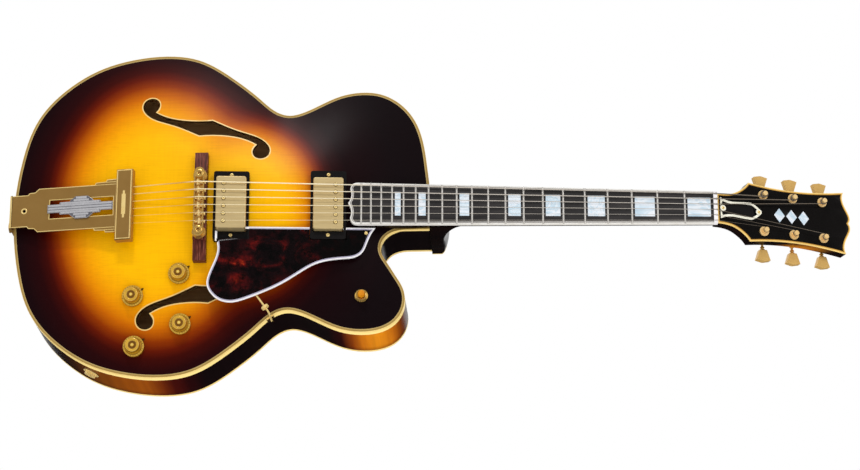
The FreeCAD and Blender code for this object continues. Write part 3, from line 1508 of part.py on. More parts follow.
half_room = s.gear_radius + s.seat_gap
half_housing = half_room + s.housing_wall
back_depth = s.face_thickness + s.head_thickness
room_end = s.worm_offset + s.worm_radius + s.seat_gap
gear_middle = -back_depth - s.worm_drop
housing_low = -back_depth - s.housing_depth
housings = []
bushings = []
for number, (along, across, side) in enumerate(tuner_places):
    string = STRING_COUNT - number if side == BASS else number - TUNERS_A_SIDE + 1
    seat = HEAD.multiply(Placement(Vector(along, across, -v.head_drop), Rotation()))
    case = box((-half_housing, -half_housing, housing_low), half_housing + room_end + s.housing_wall,
               half_housing * 2, s.housing_depth)
    room = box((-half_room, -half_room, housing_low + s.housing_wall), half_room + room_end, half_room * 2,
               s.housing_depth)
    shaft_hole = cylinder((s.worm_offset, -s.overrun, gear_middle), s.shaft_radius + s.running_fit,
                          s.overrun * 2, ALONG_Y)
    housing = cut(case, [room, shaft_hole])
    housing.Placement = seat
    housings.append(housing)
    bushing = turned("bushing_%d" % string, [
        (s.post_radius + s.running_fit, -back_depth), (s.bushing_radius, -back_depth), (s.bushing_radius, 0),
        (s.bushing_rim, 0), (s.bushing_rim, s.bushing_rise), (s.post_radius + s.running_fit, s.bushing_rise),
    ])
    bushing.Placement = seat
    bushings.append(bushing)
    gear_low = gear_middle - s.gear_height / 2
    gear_high = gear_middle + s.gear_height / 2
    post_low = housing_low + s.housing_wall + s.seat_gap
    post = turned("tuner_post_%d" % string, [
        (0, post_low), (s.post_radius, post_low), (s.post_radius, gear_low), (s.gear_radius, gear_low),
        (s.gear_radius, gear_high), (s.post_radius, gear_high), (s.post_radius, s.post_rise), (0, s.post_rise),
    ])
    publish(post, "tuner_post_%d" % string, PLAYING.multiply(seat))
    button_low = s.button_side - s.tuner_side
    worm_half = half_room - s.seat_gap
    button = turned("tuner_button_%d" % string, [
        (0, -half_housing), (s.shaft_radius, -half_housing), (s.shaft_radius, -worm_half),
        (s.worm_radius, -worm_half), (s.worm_radius, worm_half), (s.shaft_radius, worm_half),
        (s.shaft_radius, half_housing + s.seat_gap), (s.collar_radius, half_housing + s.seat_gap),
        (s.collar_radius, half_housing + s.collar_radius), (s.shaft_radius, half_housing + s.collar_radius),
        (s.shaft_radius, button_low + s.collar_radius), (0, button_low + s.collar_radius),
    ])
    grip = sketch_on(button, "XZ_Plane", -s.button_thickness / 2)
    grip_half = [(s.button_width / 2 * wide, button_low + s.button_length * out)
                 for out, wide in BUTTON_SHARES]
    polygon(grip, grip_half + [(-wide, out) for wide, out in reversed(grip_half)])
    grip_pad = button.newObject("PartDesign::Pad", "grip")
    grip_pad.Profile = grip
    bind(grip_pad, "Length", s.button_thickness)
    worm_point = Vector(float(s.worm_offset), 0, float(gear_middle))
    worm_seat = seat.multiply(Placement(worm_point, Rotation(AXIS_X, -QUARTER * side)))
    publish(button, "tuner_button_%d" % string, PLAYING.multiply(worm_seat))
publish(group(housings), "tuner_housings", PLAYING)
publish(group(bushings), "tuner_bushings", PLAYING)

# Small screws


def screw(frame, radius, head, length):
    """A dome-headed screw that points down its frame's Z axis."""
    item = turned("screw", [(0, -length), (radius, -length), (radius, 0), (head, 0), (head, head / 4),
                            (head * HEAD_DOME_SHARE, head / 2), (0, head / 2)])
    item.Placement = frame
    return item


screws = []
for frame in (BRIDGE_PICKUP, NECK_PICKUP):
    for side in SIDES:
        spot = frame.multiply(Placement(Vector(0, side * v.height_screw_side, 0), Rotation()))
        screws.append(screw(spot, s.height_screw_radius, s.height_screw_head, s.height_screw_length))
for along in cover_screws:
    spot = HEAD.multiply(Placement(Vector(float(along), 0, v.cover_thickness - v.head_drop), Rotation()))
    screws.append(screw(spot, s.trim_screw_radius, s.trim_screw_head, s.cover_thickness - s.running_fit))
spot = GUARD.multiply(Placement(guard_screw, Rotation()))
screws.append(screw(spot, s.trim_screw_radius, s.trim_screw_head, s.guard_thickness))
publish(group(screws), "screws", PLAYING)

# Strings, from the tailpiece over the saddles and the nut to two turns round each post


def biarc(start, leaving, end, arriving):
    """Two tangent arcs from one point and direction to another."""
    span = end - start
    both = leaving + arriving
    bent = 2 * (1 - leaving.dot(arriving))
    across = span.dot(both)
    handle = (-across + math.sqrt(across ** 2 + bent * span.dot(span))) / bent
    first = start + leaving * handle
    second = end - arriving * handle
    middle = (first + second) / 2
    return [corner_arc(start, first, middle), corner_arc(middle, second, end)]


def corner_arc(start, corner, end):
    half_chord = (end - start) / 2
    foot = start + half_chord
    lean = half_chord.getAngle(corner - start)
    middle = foot + (corner - foot) * (math.tan(lean / 2) / math.tan(lean))
    return Part.Arc(start, middle, end).toShape()


def string_path(number, post, side):
    """Edges of one string, in the bench frame, with the points of its winding."""
    gauge = GAUGES[number]
    tail = TAIL.multVec(Vector(v.tail_length + v.tail_bar_width / 2, string_side(v.tail_spread, number),
                               -v.tail_string_depth))
    nut = NECK.multVec(Vector(v.nut_thickness / 2, string_side(v.nut_spread, number),
                              v.nut_action + gauge + v.seat_gap))
    radius = v.post_radius + v.seat_gap + gauge
    start_height = v.winding_rise - v.head_drop
    nut_local = HEAD.inverse().multVec(nut)
    to_post = Vector(post.x - nut_local.x, post.y - nut_local.y, 0)
    swing = math.asin(radius / to_post.Length)
    heading = math.atan2(to_post.y, to_post.x) - side * swing
    first_turn = heading - side * math.pi / 2
    pitch = 2 * gauge + v.winding_gap

    def wound(turn_share):
        """Point and direction on the winding after a share of a full turn."""
        angle = first_turn + side * 2 * math.pi * turn_share
        point = Vector(post.x + radius * math.cos(angle), post.y + radius * math.sin(angle),
                       start_height - pitch * turn_share)
        flat = 2 * math.pi * radius
        direction = Vector(-side * math.sin(angle) * flat, side * math.cos(angle) * flat, -pitch).normalize()
        return HEAD.multVec(point), HEAD.Rotation.multVec(direction)

    tangent_point = wound(0)[0]
    edges = bent_edges([tail, saddle_points[number], nut, tangent_point], v.string_bend)
    last = edges[-1]
    leaving = (last.valueAt(last.LastParameter) - last.valueAt(last.FirstParameter)).normalize()
    here = tangent_point
    steps = QUARTERS * WINDING_TURNS
    coil = []
    for step in range(1, steps + 1):
        point, direction = wound(step / QUARTERS)
        coil += biarc(here, leaving, point, direction)
        here, leaving = point, direction
    return edges + coil, coil, gauge


def coil_gap(coil, gauge):
    """The least gap of a winding to itself, measured on points along its line."""
    points = []
    for edge in coil:
        points += edge.discretize(COIL_POINTS)[:-1]
    half_turn = len(points) // (2 * WINDING_TURNS)
    gaps = [one.distanceToPoint(other) for number, one in enumerate(points)
            for other in points[number + half_turn:]]
    return min(gaps) - 2 * gauge


string_solids = []
for number in STRING_NUMBERS:
    side = BASS if number < TUNERS_A_SIDE else TREBLE
    rank = number if side == BASS else STRING_COUNT - 1 - number
    post = Vector(v.tuner_place + v.tuner_step * rank, side * v.tuner_side, 0)
    edges, coil, gauge = string_path(number, post, side)
    solid = tube(edges, gauge)
    length = sum(edge.Length for edge in edges)
    area = math.pi * gauge ** 2
    print("string %d: length %.1f, volume over section times length %.4f, winding gap %.2f"
          % (STRING_COUNT - number, length, solid.Volume / (area * length), coil_gap(coil, gauge)))
    string_solids.append(solid)
solid_node("strings", Part.makeCompound(string_solids))

# Checks and files

doc.recompute()
faults = [item.Label for item in doc.Objects if "Invalid" in item.State or "Error" in item.State]
faults += [item.Label for item in nodes if item.Shape.isNull() or not item.Shape.isValid()]
if faults:
    raise RuntimeError("these pieces failed: " + ", ".join(faults))
os.makedirs("parts", exist_ok=True)
for item in nodes:
    item.Shape.exportStep("parts/%s.step" % item.Label)
    print("%s: %d solids, %.0f cubic mm" % (item.Label, len(item.Shape.Solids), item.Shape.Volume))
print("%d nodes" % len(nodes))
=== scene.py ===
# %% [markdown]
# # Dressing an archtop guitar
# The solids of the guitar come from a CAD pack, in metres, with +X along the neck, -Y out of the
# face and +Z up to the bass side. This lesson gives them their wood, lacquer, binding and gold
# plate, adds the small pieces that a solid model leaves plain, and lights the whole as a studio
# would.

# %% Load the frame
import json
import math

import bmesh
import bpy
from mathutils import Matrix, Vector
from mathutils.bvhtree import BVHTree
from mathutils.kdtree import KDTree


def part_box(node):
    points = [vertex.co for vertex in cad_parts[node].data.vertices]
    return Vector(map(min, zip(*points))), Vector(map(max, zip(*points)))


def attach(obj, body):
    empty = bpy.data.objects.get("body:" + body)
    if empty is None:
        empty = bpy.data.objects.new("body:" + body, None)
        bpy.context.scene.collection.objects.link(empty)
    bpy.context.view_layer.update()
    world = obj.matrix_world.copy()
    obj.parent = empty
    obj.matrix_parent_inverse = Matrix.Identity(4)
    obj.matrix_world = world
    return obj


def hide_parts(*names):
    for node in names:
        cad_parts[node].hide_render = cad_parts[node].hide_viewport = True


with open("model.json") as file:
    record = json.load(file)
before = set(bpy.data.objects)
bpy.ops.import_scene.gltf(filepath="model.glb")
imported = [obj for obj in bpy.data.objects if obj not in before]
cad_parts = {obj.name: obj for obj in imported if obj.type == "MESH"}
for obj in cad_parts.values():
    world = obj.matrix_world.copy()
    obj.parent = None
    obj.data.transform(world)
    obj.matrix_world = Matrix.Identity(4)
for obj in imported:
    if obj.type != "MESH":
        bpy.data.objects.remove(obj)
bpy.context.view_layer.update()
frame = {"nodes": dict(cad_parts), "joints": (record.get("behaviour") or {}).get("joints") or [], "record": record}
MM = 0.001

# %% [markdown]
# ## The camera
# The guitar was photographed with a long lens, from below the middle of its face, so that the
# treble rim shows. A long lens keeps the neck from shrinking towards the headstock.

# %% Place the camera
CAMERA_PLACE = (0.67665, -3.33087, -1.19486)
CAMERA_TURN = (109.4213, 0.0714, 2.5992)
CAMERA_LENS, SENSOR_WIDTH = 116.17, 36
camera_data = bpy.data.cameras.new("camera")
camera_data.sensor_width = SENSOR_WIDTH
camera_data.lens = CAMERA_LENS
camera = bpy.data.objects.new("camera", camera_data)
camera.location = CAMERA_PLACE
camera.rotation_euler = [math.radians(angle) for angle in CAMERA_TURN]
bpy.context.scene.collection.objects.link(camera)
bpy.context.scene.camera = camera
print("camera lens:", round(camera_data.lens, 2), "mm")

# %% [markdown]
# ## Colours and node helpers
# Colours are written as the eye reads them, from 0 to 255, and turned into the linear values that
# shaders use. A finish is a Principled shader whose constant values sit on its own sockets, with a
# few texture nodes before it.


# %% Helpers for finishes
def tint(red, green, blue):
    """A colour in linear values, by the sRGB curve."""
    def linear(level):
        share = level / 255
        return share / 12.92 if share <= 0.04045 else ((share + 0.055) / 1.055) ** 2.4

    return (linear(red), linear(green), linear(blue), 1.0)


class Finish:
    """A material with its node tree, its shader and short ways to add nodes."""

    def __init__(self, name, roughness=0.3, specular=0.3, metallic=0.0, coat=0.0):
        self.material = bpy.data.materials.new(name)
        self.material.use_nodes = True
        self.tree = self.material.node_tree
        self.shader = self.tree.nodes["Principled BSDF"]
        self.shader.inputs["Roughness"].default_value = roughness
        self.shader.inputs["Specular IOR Level"].default_value = specular
        self.shader.inputs["Metallic"].default_value = metallic
        self.shader.inputs["Coat Weight"].default_value = coat
        self.shader.inputs["Coat Roughness"].default_value = 0.05

    def node(self, kind, inputs=None, **settings):
        """A node with its settings, whose inputs are linked or take a constant."""
        node = self.tree.nodes.new("ShaderNode" + kind)
        for name, value in settings.items():
            setattr(node, name, value)
        for socket, value in (inputs or {}).items():
            if isinstance(value, bpy.types.NodeSocket):
                self.tree.links.new(value, node.inputs[socket])
            else:
                node.inputs[socket].default_value = value
        return node

    def place(self, scale=(1, 1, 1), location=(0, 0, 0)):
        """Object coordinates, moved and scaled by a Mapping node."""
        coordinates = self.node("TexCoord").outputs["Object"]
        inputs = {"Vector": coordinates, "Scale": scale, "Location": location}
        return self.node("Mapping", inputs).outputs["Vector"]

    def axis(self, letter):
        return self.node("SeparateXYZ", {"Vector": self.place()}).outputs[letter]

    def attribute(self, name):
        return self.node("Attribute", attribute_name=name).outputs["Fac"]

    def math(self, operation, first, second=0.0, third=None):
        inputs = {0: first, 1: second}
        if third is not None:
            inputs[2] = third
        return self.node("Math", inputs, operation=operation).outputs[0]

    def length(self, vector):
        return self.node("VectorMath", {0: vector}, operation="LENGTH").outputs["Value"]

    def noise(self, vector, scale, detail=3.0, roughness=0.5, distortion=0.0):
        inputs = {"Vector": vector, "Scale": scale, "Detail": detail, "Roughness": roughness,
                  "Distortion": distortion}
        return self.node("TexNoise", inputs).outputs["Fac"]

    def span(self, value, low, high, first=0.0, last=1.0, course="LINEAR"):
        """A value that runs from first to last while another runs from low to high."""
        inputs = {"Value": value, "From Min": low, "From Max": high, "To Min": first,
                  "To Max": last}
        return self.node("MapRange", inputs, interpolation_type=course).outputs["Result"]

    def ramp(self, factor, stops, interpolation="LINEAR"):
        node = self.node("ValToRGB", {"Fac": factor})
        ramp = node.color_ramp
        ramp.interpolation = interpolation
        while len(ramp.elements) < len(stops):
            ramp.elements.new(0.5)
        for element, (place, colour) in zip(ramp.elements, stops):
            element.position = place
            element.color = colour
        return node.outputs["Color"]

    def mix(self, factor, first, second, blend="MIX"):
        """A mix of two colours, through the sockets that a Mix node keeps for colours."""
        inputs = {0: factor, 6: first, 7: second}
        return self.node("Mix", inputs, data_type="RGBA", blend_type=blend).outputs[2]

    def shade(self, first, second):
        """One colour darkened by another."""
        return self.mix(1.0, first, second, "MULTIPLY")

    def feed(self, socket, value):
        self.tree.links.new(value, self.shader.inputs[socket])

    def colour(self):
        """The colour that feeds the shader so far."""
        return self.shader.inputs["Base Color"].links[0].from_socket

    def bump(self, height, strength, distance):
        inputs = {"Height": height, "Strength": strength, "Distance": distance}
        self.feed("Normal", self.node("Bump", inputs).outputs["Normal"])


finishes = {}
WHITE = tint(255, 255, 255)
print("finish helpers ready")

# %% [markdown]
# ## Sunburst lacquer
# The top is spruce under a sunburst: clear yellow in the middle, then orange, red-brown and nearly
# black at the edge. The painter sprays it round the lower bout and its waist, so two ovals joined
# softly give its shape. Fine grain runs with the strings, and silk crosses it. The colour is a
# ramp on the distance from those ovals, which are given in millimetres.

# %% Sunburst on the top
BURST = [
    (0.0, tint(254, 190, 2)), (0.28, tint(253, 186, 2)), (0.35, tint(246, 168, 2)),
    (0.41, tint(228, 138, 0)), (0.455, tint(194, 98, 0)), (0.5, tint(138, 50, 0)),
    (0.535, tint(94, 20, 2)), (0.565, tint(60, 8, 4)), (0.61, tint(38, 5, 7)),
    (0.69, tint(24, 6, 9)), (1.0, tint(17, 8, 11)),
]
TOP_OVALS = ((184, 1, 128, 172), (296, 3, 96, 115))
OVAL_SOFTNESS = 0.35
BURST_WANDER = 0.012
LACQUER = {"roughness": 0.28, "specular": 0.055}


def oval(finish, along, across, reach, spread):
    """Distance from an oval on the face, in mm, which is 1 at its edge."""
    scale = (1 / (reach * MM), 0, 1 / (spread * MM))
    return finish.length(finish.place(scale, (-along / reach, 0, -across / spread)))


def burst_distance(finish, ovals):
    """Half the distance from several ovals that melt into each other."""
    distance = oval(finish, *ovals[0])
    for shape in ovals[1:]:
        distance = finish.math("SMOOTH_MIN", distance, oval(finish, *shape), OVAL_SOFTNESS)
    wander = finish.noise(finish.place(), 9.0, 2.0)
    wander = finish.span(wander, 0, 1, -BURST_WANDER, BURST_WANDER)
    return finish.math("ADD", finish.math("MULTIPLY", distance, 0.5), wander)


def lines(finish, scale, stretch, detail=4.0):
    """Fine long streaks from a noise that is drawn out along one axis."""
    return finish.noise(finish.place(stretch), scale, detail)


top_lacquer = Finish("sunburst_top", **LACQUER)
top_colour = top_lacquer.ramp(burst_distance(top_lacquer, TOP_OVALS), BURST)
spruce = lines(top_lacquer, 900.0, (0.02, 1, 1))
spruce_shade = top_lacquer.ramp(spruce, [(0.35, tint(247, 245, 242)), (0.6, WHITE)])
silk = lines(top_lacquer, 300.0, (1, 1, 0.05))
silk_shade = top_lacquer.ramp(silk, [(0.3, tint(251, 250, 247)), (0.6, WHITE)])
top_colour = top_lacquer.shade(top_colour, spruce_shade)
top_lacquer.feed("Base Color", top_lacquer.shade(top_colour, silk_shade))
top_lacquer.bump(spruce, 0.03, 0.0002)
finishes["top"] = top_lacquer.material
print("sunburst top ready")

# %% [markdown]
# The back and the rim are flamed maple under a browner burst. Flame is a set of soft stripes
# across the grain that lighten and darken as the wood fibres rise and fall. Each stretch of the
# rim has its own tone: amber where the bouts swell, black at the waist, at the tail and inside the
# cutaway. Pale binding folds over the rim's upper edge, and its lower part is painted as a band
# here, which narrows inside the cutaway. The band takes the bright cream of the binding's walls,
# which is painted light from below.

# %% Flamed maple for the back and the rim
MAPLE_BURST = [
    (0.0, tint(205, 112, 22)), (0.3, tint(190, 94, 14)), (0.4, tint(150, 60, 8)),
    (0.48, tint(96, 28, 6)), (0.56, tint(48, 9, 6)), (0.68, tint(24, 7, 8)),
    (1.0, tint(17, 7, 9)),
]
BACK_OVALS = ((196, 0, 138, 178), (330, 0, 120, 112))
RIM_LENGTH = 528
RIM_TONES = [
    (20, tint(22, 8, 8)), (60, tint(32, 14, 7)), (80, tint(60, 29, 6)), (105, tint(108, 56, 6)),
    (145, tint(150, 76, 2)), (173, tint(150, 74, 2)), (192, tint(110, 40, 1)),
    (205, tint(72, 10, 2)), (224, tint(42, 3, 5)), (245, tint(18, 6, 8)), (398, tint(18, 6, 8)),
    (416, tint(46, 5, 4)), (430, tint(138, 60, 2)), (444, tint(204, 114, 6)),
    (458, tint(226, 138, 12)), (470, tint(224, 134, 12)), (481, tint(198, 108, 6)),
    (490, tint(130, 58, 3)), (498, tint(36, 10, 8)), (510, tint(18, 7, 9)),
]
RIM_SHADE = (0.022, 0.04, 0, 0.6)
RIM_BAND, BAY_BAND = -0.0292, -0.0372
BAY_FADE = (0.466, 0.492)
BAY_EDGE = -0.06
HORN_EDGE = (-0.125, -0.115)
HORN_START = (0.4, 0.42)
# Bright cream for the binding's walls and the band below them, painted light from below.
LIT_CREAM = tint(255, 226, 144)


def flame(finish, stretch):
    """Soft stripes across the grain, bent by a slow noise."""
    bend = finish.noise(finish.place(), 12.0, 2.0)
    stripes = finish.noise(finish.place(stretch), 120.0, 2.0, 0.6)
    waves = finish.math("ADD", stripes, finish.span(bend, 0, 1, -0.12, 0.12))
    return finish.ramp(waves, [(0.36, tint(186, 168, 156)), (0.62, WHITE)])


back_lacquer = Finish("sunburst_back", **LACQUER)
back_colour = back_lacquer.ramp(burst_distance(back_lacquer, BACK_OVALS), MAPLE_BURST)
back_flame = flame(back_lacquer, (1, 1, 0.09))
back_lacquer.feed("Base Color", back_lacquer.mix(0.8, back_colour, back_flame, "MULTIPLY"))
finishes["back"] = back_lacquer.material

rim_lacquer = Finish("sunburst_rim", **LACQUER)
rim_x, rim_y, rim_z = (rim_lacquer.axis(letter) for letter in "XYZ")
treble = rim_lacquer.math("LESS_THAN", rim_z, 0)
rim_colour = rim_lacquer.ramp(rim_lacquer.span(rim_x, 0, RIM_LENGTH * MM),
                              [(along / RIM_LENGTH, tone) for along, tone in RIM_TONES])
rim_colour = rim_lacquer.mix(rim_lacquer.span(rim_y, *RIM_SHADE), rim_colour, tint(30, 9, 7))
horn_side = rim_lacquer.math("MULTIPLY", rim_lacquer.span(rim_z, *HORN_EDGE), treble)
horn_side = rim_lacquer.math("MULTIPLY", horn_side, rim_lacquer.span(rim_x, *HORN_START))
rim_colour = rim_lacquer.mix(horn_side, rim_colour, tint(16, 7, 9))
rim_colour = rim_lacquer.mix(0.35, rim_colour, flame(rim_lacquer, (1, 0.05, 1)), "MULTIPLY")
bay_wall = rim_lacquer.math("GREATER_THAN", rim_z, BAY_EDGE)
bay_wall = rim_lacquer.math("MULTIPLY", bay_wall, treble)
bay_along = rim_lacquer.math("MULTIPLY", bay_wall, rim_x)
band_edge = rim_lacquer.span(bay_along, *BAY_FADE, RIM_BAND, BAY_BAND)
rim_band = rim_lacquer.math("LESS_THAN", rim_y, band_edge)
rim_lacquer.feed("Base Color", rim_lacquer.mix(rim_band, rim_colour, LIT_CREAM))
finishes["rim"] = rim_lacquer.material
print("flamed maple ready")

# %% [markdown]
# ## Dark woods
# The neck is lacquered nearly black, with a little amber left in the middle of the headstock's
# back and sides. The fingerboard is ebony, black with faint streaks along the grain. The bridge
# base is rosewood, red-brown with darker and lighter veins and open pores. Bare spruce and maple
# show inside the f-holes.

# %% Ebony, rosewood and dark lacquer
EBONY = [(0.3, tint(30, 28, 28)), (0.55, tint(45, 42, 42)), (0.75, tint(60, 55, 54))]
ROSEWOOD = [
    (0.3, tint(52, 18, 12)), (0.46, tint(86, 36, 24)), (0.56, tint(110, 52, 38)),
    (0.7, tint(140, 84, 68)),
]
BARE_WOOD = [(0.3, tint(216, 170, 108)), (0.7, tint(242, 202, 142))]
NECK_WOOD = [(0.3, tint(12, 6, 6)), (0.55, tint(18, 8, 7)), (0.8, tint(28, 11, 8))]
GLOW_PLACE, GLOW_REACH = (0.985, 0.03), (0.05, 0.016)
GLOW_FADE = (0.1, 1.25, 0.92, 0.0)


def streaked_wood(name, stops, scale, stretch, roughness, pore, specular=0.2):
    wood = Finish(name, roughness=roughness, specular=specular)
    wood.feed("Base Color", wood.ramp(lines(wood, scale, stretch, 6.0), stops))
    wood.bump(lines(wood, scale * 6, stretch, 2.0), pore, 0.0003)
    return wood


ebony = streaked_wood("ebony", EBONY, 160.0, (0.06, 1, 1), 0.4, 0.1)
rosewood = streaked_wood("rosewood", ROSEWOOD, 700.0, (1, 1, 0.04), 0.42, 0.2)
bare_wood = streaked_wood("bare_wood", BARE_WOOD, 200.0, (0.05, 1, 1), 0.7, 0.1)
neck_lacquer = streaked_wood("neck_lacquer", NECK_WOOD, 90.0, (0.08, 1, 1), 0.22, 0.02, 0.12)
glow_place = neck_lacquer.place(
    (1 / GLOW_REACH[0], 1 / GLOW_REACH[1], 0),
    (-GLOW_PLACE[0] / GLOW_REACH[0], -GLOW_PLACE[1] / GLOW_REACH[1], 0))
glow = neck_lacquer.span(neck_lacquer.length(glow_place), *GLOW_FADE, "SMOOTHSTEP")
neck_colour = neck_lacquer.mix(glow, neck_lacquer.colour(), tint(206, 124, 22))
neck_lacquer.feed("Base Color", neck_colour)
for key, wood in (("ebony", ebony), ("rosewood", rosewood), ("inner_wood", bare_wood),
                  ("neck", neck_lacquer)):
    finishes[key] = wood.material
print("dark woods ready")

# %% [markdown]
# ## Plastics and pearl
# Binding is celluloid in layers: tan where it has yellowed, white with grey lines round the
# fingerboard and the pickguard. On the body the face of the binding is painted a darker tan and
# its walls a brighter cream: painted shade and painted light from below, on one plastic. Each
# layered strip carries an attribute, called ply, with the distance of its corners from the piece
# that it is glued to, and a ramp with hard steps turns that into layers. The pickguard is dark
# tortoiseshell, black with red clouds. Pearl is a shell whose layers show as soft swirls.

# %% Binding, shell and pearl
LAYERED = {
    # The binding's face in plies, painted darker than its walls as painted shade.
    "binding_face_plies_and_shade": (3.4, [
        (0.0, tint(196, 170, 112)), (0.16, tint(176, 148, 84)), (0.5, tint(160, 128, 64)),
        (0.84, tint(204, 172, 96)),
    ]),
    "board_edging": (3.2, [
        (0.0, tint(206, 202, 198)), (0.27, tint(58, 55, 56)), (0.48, tint(230, 227, 222)),
    ]),
    "head_edging": (2.4, [
        (0.0, tint(184, 136, 56)), (0.3, tint(222, 176, 84)), (0.6, tint(252, 214, 128)),
    ]),
    "guard_edging": (2.8, [
        (0.0, tint(186, 182, 202)), (0.16, tint(158, 154, 178)), (0.4, tint(204, 201, 218)),
        (0.62, tint(248, 247, 250)),
    ]),
}
MOTTLED = {
    # The binding's walls, painted a brighter cream as painted light from below.
    "cream": ("binding_cream", tint(250, 216, 132), tint(255, 226, 146), 60.0, 0.3),
    "hole_cream": ("hole_cream", tint(228, 190, 112), tint(238, 202, 126), 60.0, 0.3),
    "white": ("white_layer", tint(240, 236, 216), tint(248, 245, 228), 90.0, 0.3),
    "bone": ("bone", tint(228, 224, 224), tint(242, 239, 240), 140.0, 0.3),
    "black": ("black_plastic", tint(13, 11, 11), tint(19, 16, 16), 70.0, 0.28, 0.15),
    "head_black": ("head_lacquer", tint(9, 7, 6), tint(14, 11, 10), 40.0, 0.2, 0.12),
    "amber": ("amber_plastic", tint(206, 126, 14), tint(232, 156, 30), 120.0, 0.22),
    # The dark line is ink for the knob marks and the stain of the f-hole walls, and painted shade in screw slots
    # and round the poles.
    "ink": ("dark_line", tint(58, 36, 10), tint(76, 48, 16), 120.0, 0.4),
}
SHELL_CLOUD = [
    (0.46, tint(14, 3, 5)), (0.54, tint(34, 4, 6)), (0.61, tint(66, 7, 8)),
    (0.68, tint(116, 18, 10)), (0.75, tint(196, 62, 22)),
]
SHELL_SPAN = (0.25, 0.46)
SHELL_FADE = [
    (0.0, tint(235, 225, 225)), (0.2, WHITE), (0.6, tint(236, 226, 226)),
    (0.78, tint(120, 90, 90)),
]
PEARL = [
    (0.25, tint(176, 200, 216)), (0.4, tint(206, 222, 234)), (0.5, tint(230, 234, 240)),
    (0.6, tint(190, 212, 226)), (0.75, tint(238, 242, 246)),
]


def mottled(name, dark, light, scale, roughness, specular=0.3):
    plastic = Finish(name, roughness=roughness, specular=specular)
    cloud = plastic.noise(plastic.place(), scale)
    plastic.feed("Base Color", plastic.ramp(cloud, [(0.3, dark), (0.7, light)]))
    return plastic.material


def layered(name, width, stops):
    """Layers across a strip that is some mm wide, faintly clouded with age."""
    plastic = Finish(name)
    share = plastic.span(plastic.attribute("ply"), 0, width)
    layers = plastic.ramp(share, stops, "CONSTANT")
    cloud = plastic.noise(plastic.place(), 80.0)
    cloud = plastic.ramp(cloud, [(0.3, tint(240, 238, 234)), (0.7, WHITE)])
    plastic.feed("Base Color", plastic.shade(layers, cloud))
    return plastic.material


for key, (width, stops) in LAYERED.items():
    finishes[key] = layered(key, width, stops)
for key, look in MOTTLED.items():
    finishes[key] = mottled(*look)

shell = Finish("tortoiseshell", roughness=0.2, specular=0.12)
shell_cloud = shell.noise(shell.place((1, 1, 1.25)), 24.0, 4.0, 0.55, 1.3)
shell_fleck = shell.noise(shell.place((1, 1, 1), (0.37, 0.1, 0.2)), 90.0, 5.0, 0.7)
shell_dark = shell.ramp(shell_fleck, [(0.4, tint(86, 66, 66)), (0.58, WHITE)])
shell_fade = shell.ramp(shell.span(shell.axis("X"), *SHELL_SPAN), SHELL_FADE)
shell_colour = shell.shade(shell.ramp(shell_cloud, SHELL_CLOUD), shell_dark)
shell.feed("Base Color", shell.shade(shell_colour, shell_fade))
finishes["shell"] = shell.material

pearl = Finish("pearl", roughness=0.25, specular=0.3)
pearl_swirl = pearl.noise(pearl.place((0.6, 1, 1)), 35.0, 3.0, 0.5, 2.6)
pearl.feed("Base Color", pearl.ramp(pearl_swirl, PEARL))
finishes["pearl"] = pearl.material
print("plastics and pearl ready")

# %% [markdown]
# ## Metals
# The hardware is gold plated. The tailpiece is brushed and browner, the pickup covers are satin,
# and the small pieces are polished. Plating is never quite even, so a slow noise shifts its colour
# and its polish. Satin metal scatters light in all directions, and a lower metallic value gives it
# that milky look. The strings carry painted light along their length: bright gold with a painted
# highlight over the body, grey over the fingerboard and dark past the nut, as painted reflections
# of what lies under them.

# %% Gold, silver and steel
ALONG_NECK = (0.08, 1, 1)
PLATED = {
    "gold": ("polished_gold", tint(246, 204, 118), tint(222, 174, 88), 0.2),
    "satin_gold": ("satin_gold", tint(214, 190, 138), tint(200, 175, 124), 0.36, 0.55, 300.0,
                   ALONG_NECK),
    "tail_gold": ("brushed_gold", tint(178, 138, 76), tint(168, 128, 68), 0.36, 0.7, 40.0),
    "button_gold": ("button_gold", tint(238, 194, 116), tint(224, 180, 104), 0.3, 0.45),
    "post_gold": ("post_gold", tint(255, 220, 156), tint(246, 202, 132), 0.26, 0.4),
    "pale_gold": ("pale_gold", tint(255, 228, 156), tint(244, 210, 132), 0.26, 0.35),
    "dark_gold": ("dark_gold", tint(120, 86, 34), tint(84, 56, 20), 0.35),
    "nickel": ("fret_nickel", tint(216, 212, 206), tint(200, 196, 190), 0.26, 0.5),
    "steel": ("plain_steel", tint(206, 204, 200), tint(180, 178, 174), 0.25),
    "silver": ("rib_silver", tint(212, 211, 214), tint(198, 197, 201), 0.24, 0.5),
    # Darker silver, painted shade in the grooves between the insert's ribs.
    "groove_shade_silver": ("groove_silver", tint(126, 125, 132), tint(108, 107, 114), 0.35, 0.6),
}
# Painted light along the strings by distance along the neck: gold and painted highlights over the body, grey over
# the fingerboard, dark past the nut.
STRING_LIGHT_STOPS = [
    (0.18, tint(240, 202, 120)), (0.22, tint(206, 160, 82)), (0.24, tint(255, 240, 196)),
    (0.4, tint(255, 244, 210)), (0.46, tint(206, 198, 188)), (0.87, tint(190, 184, 176)),
    (0.9, tint(110, 100, 88)),
]


def plated(name, colour, dark, roughness, metallic=0.8, scale=60.0, stretch=(1, 1, 1)):
    metal = Finish(name, metallic=metallic)
    cloud = metal.noise(metal.place(stretch), scale, 4.0)
    metal.feed("Base Color", metal.ramp(cloud, [(0.3, dark), (0.7, colour)]))
    metal.feed("Roughness", metal.span(cloud, 0, 1, roughness + 0.06, roughness - 0.06))
    return metal


for key, look in PLATED.items():
    finishes[key] = plated(*look).material

string_wire = plated("wound_string", WHITE, tint(240, 236, 230), 0.3, 0.05, 900.0)
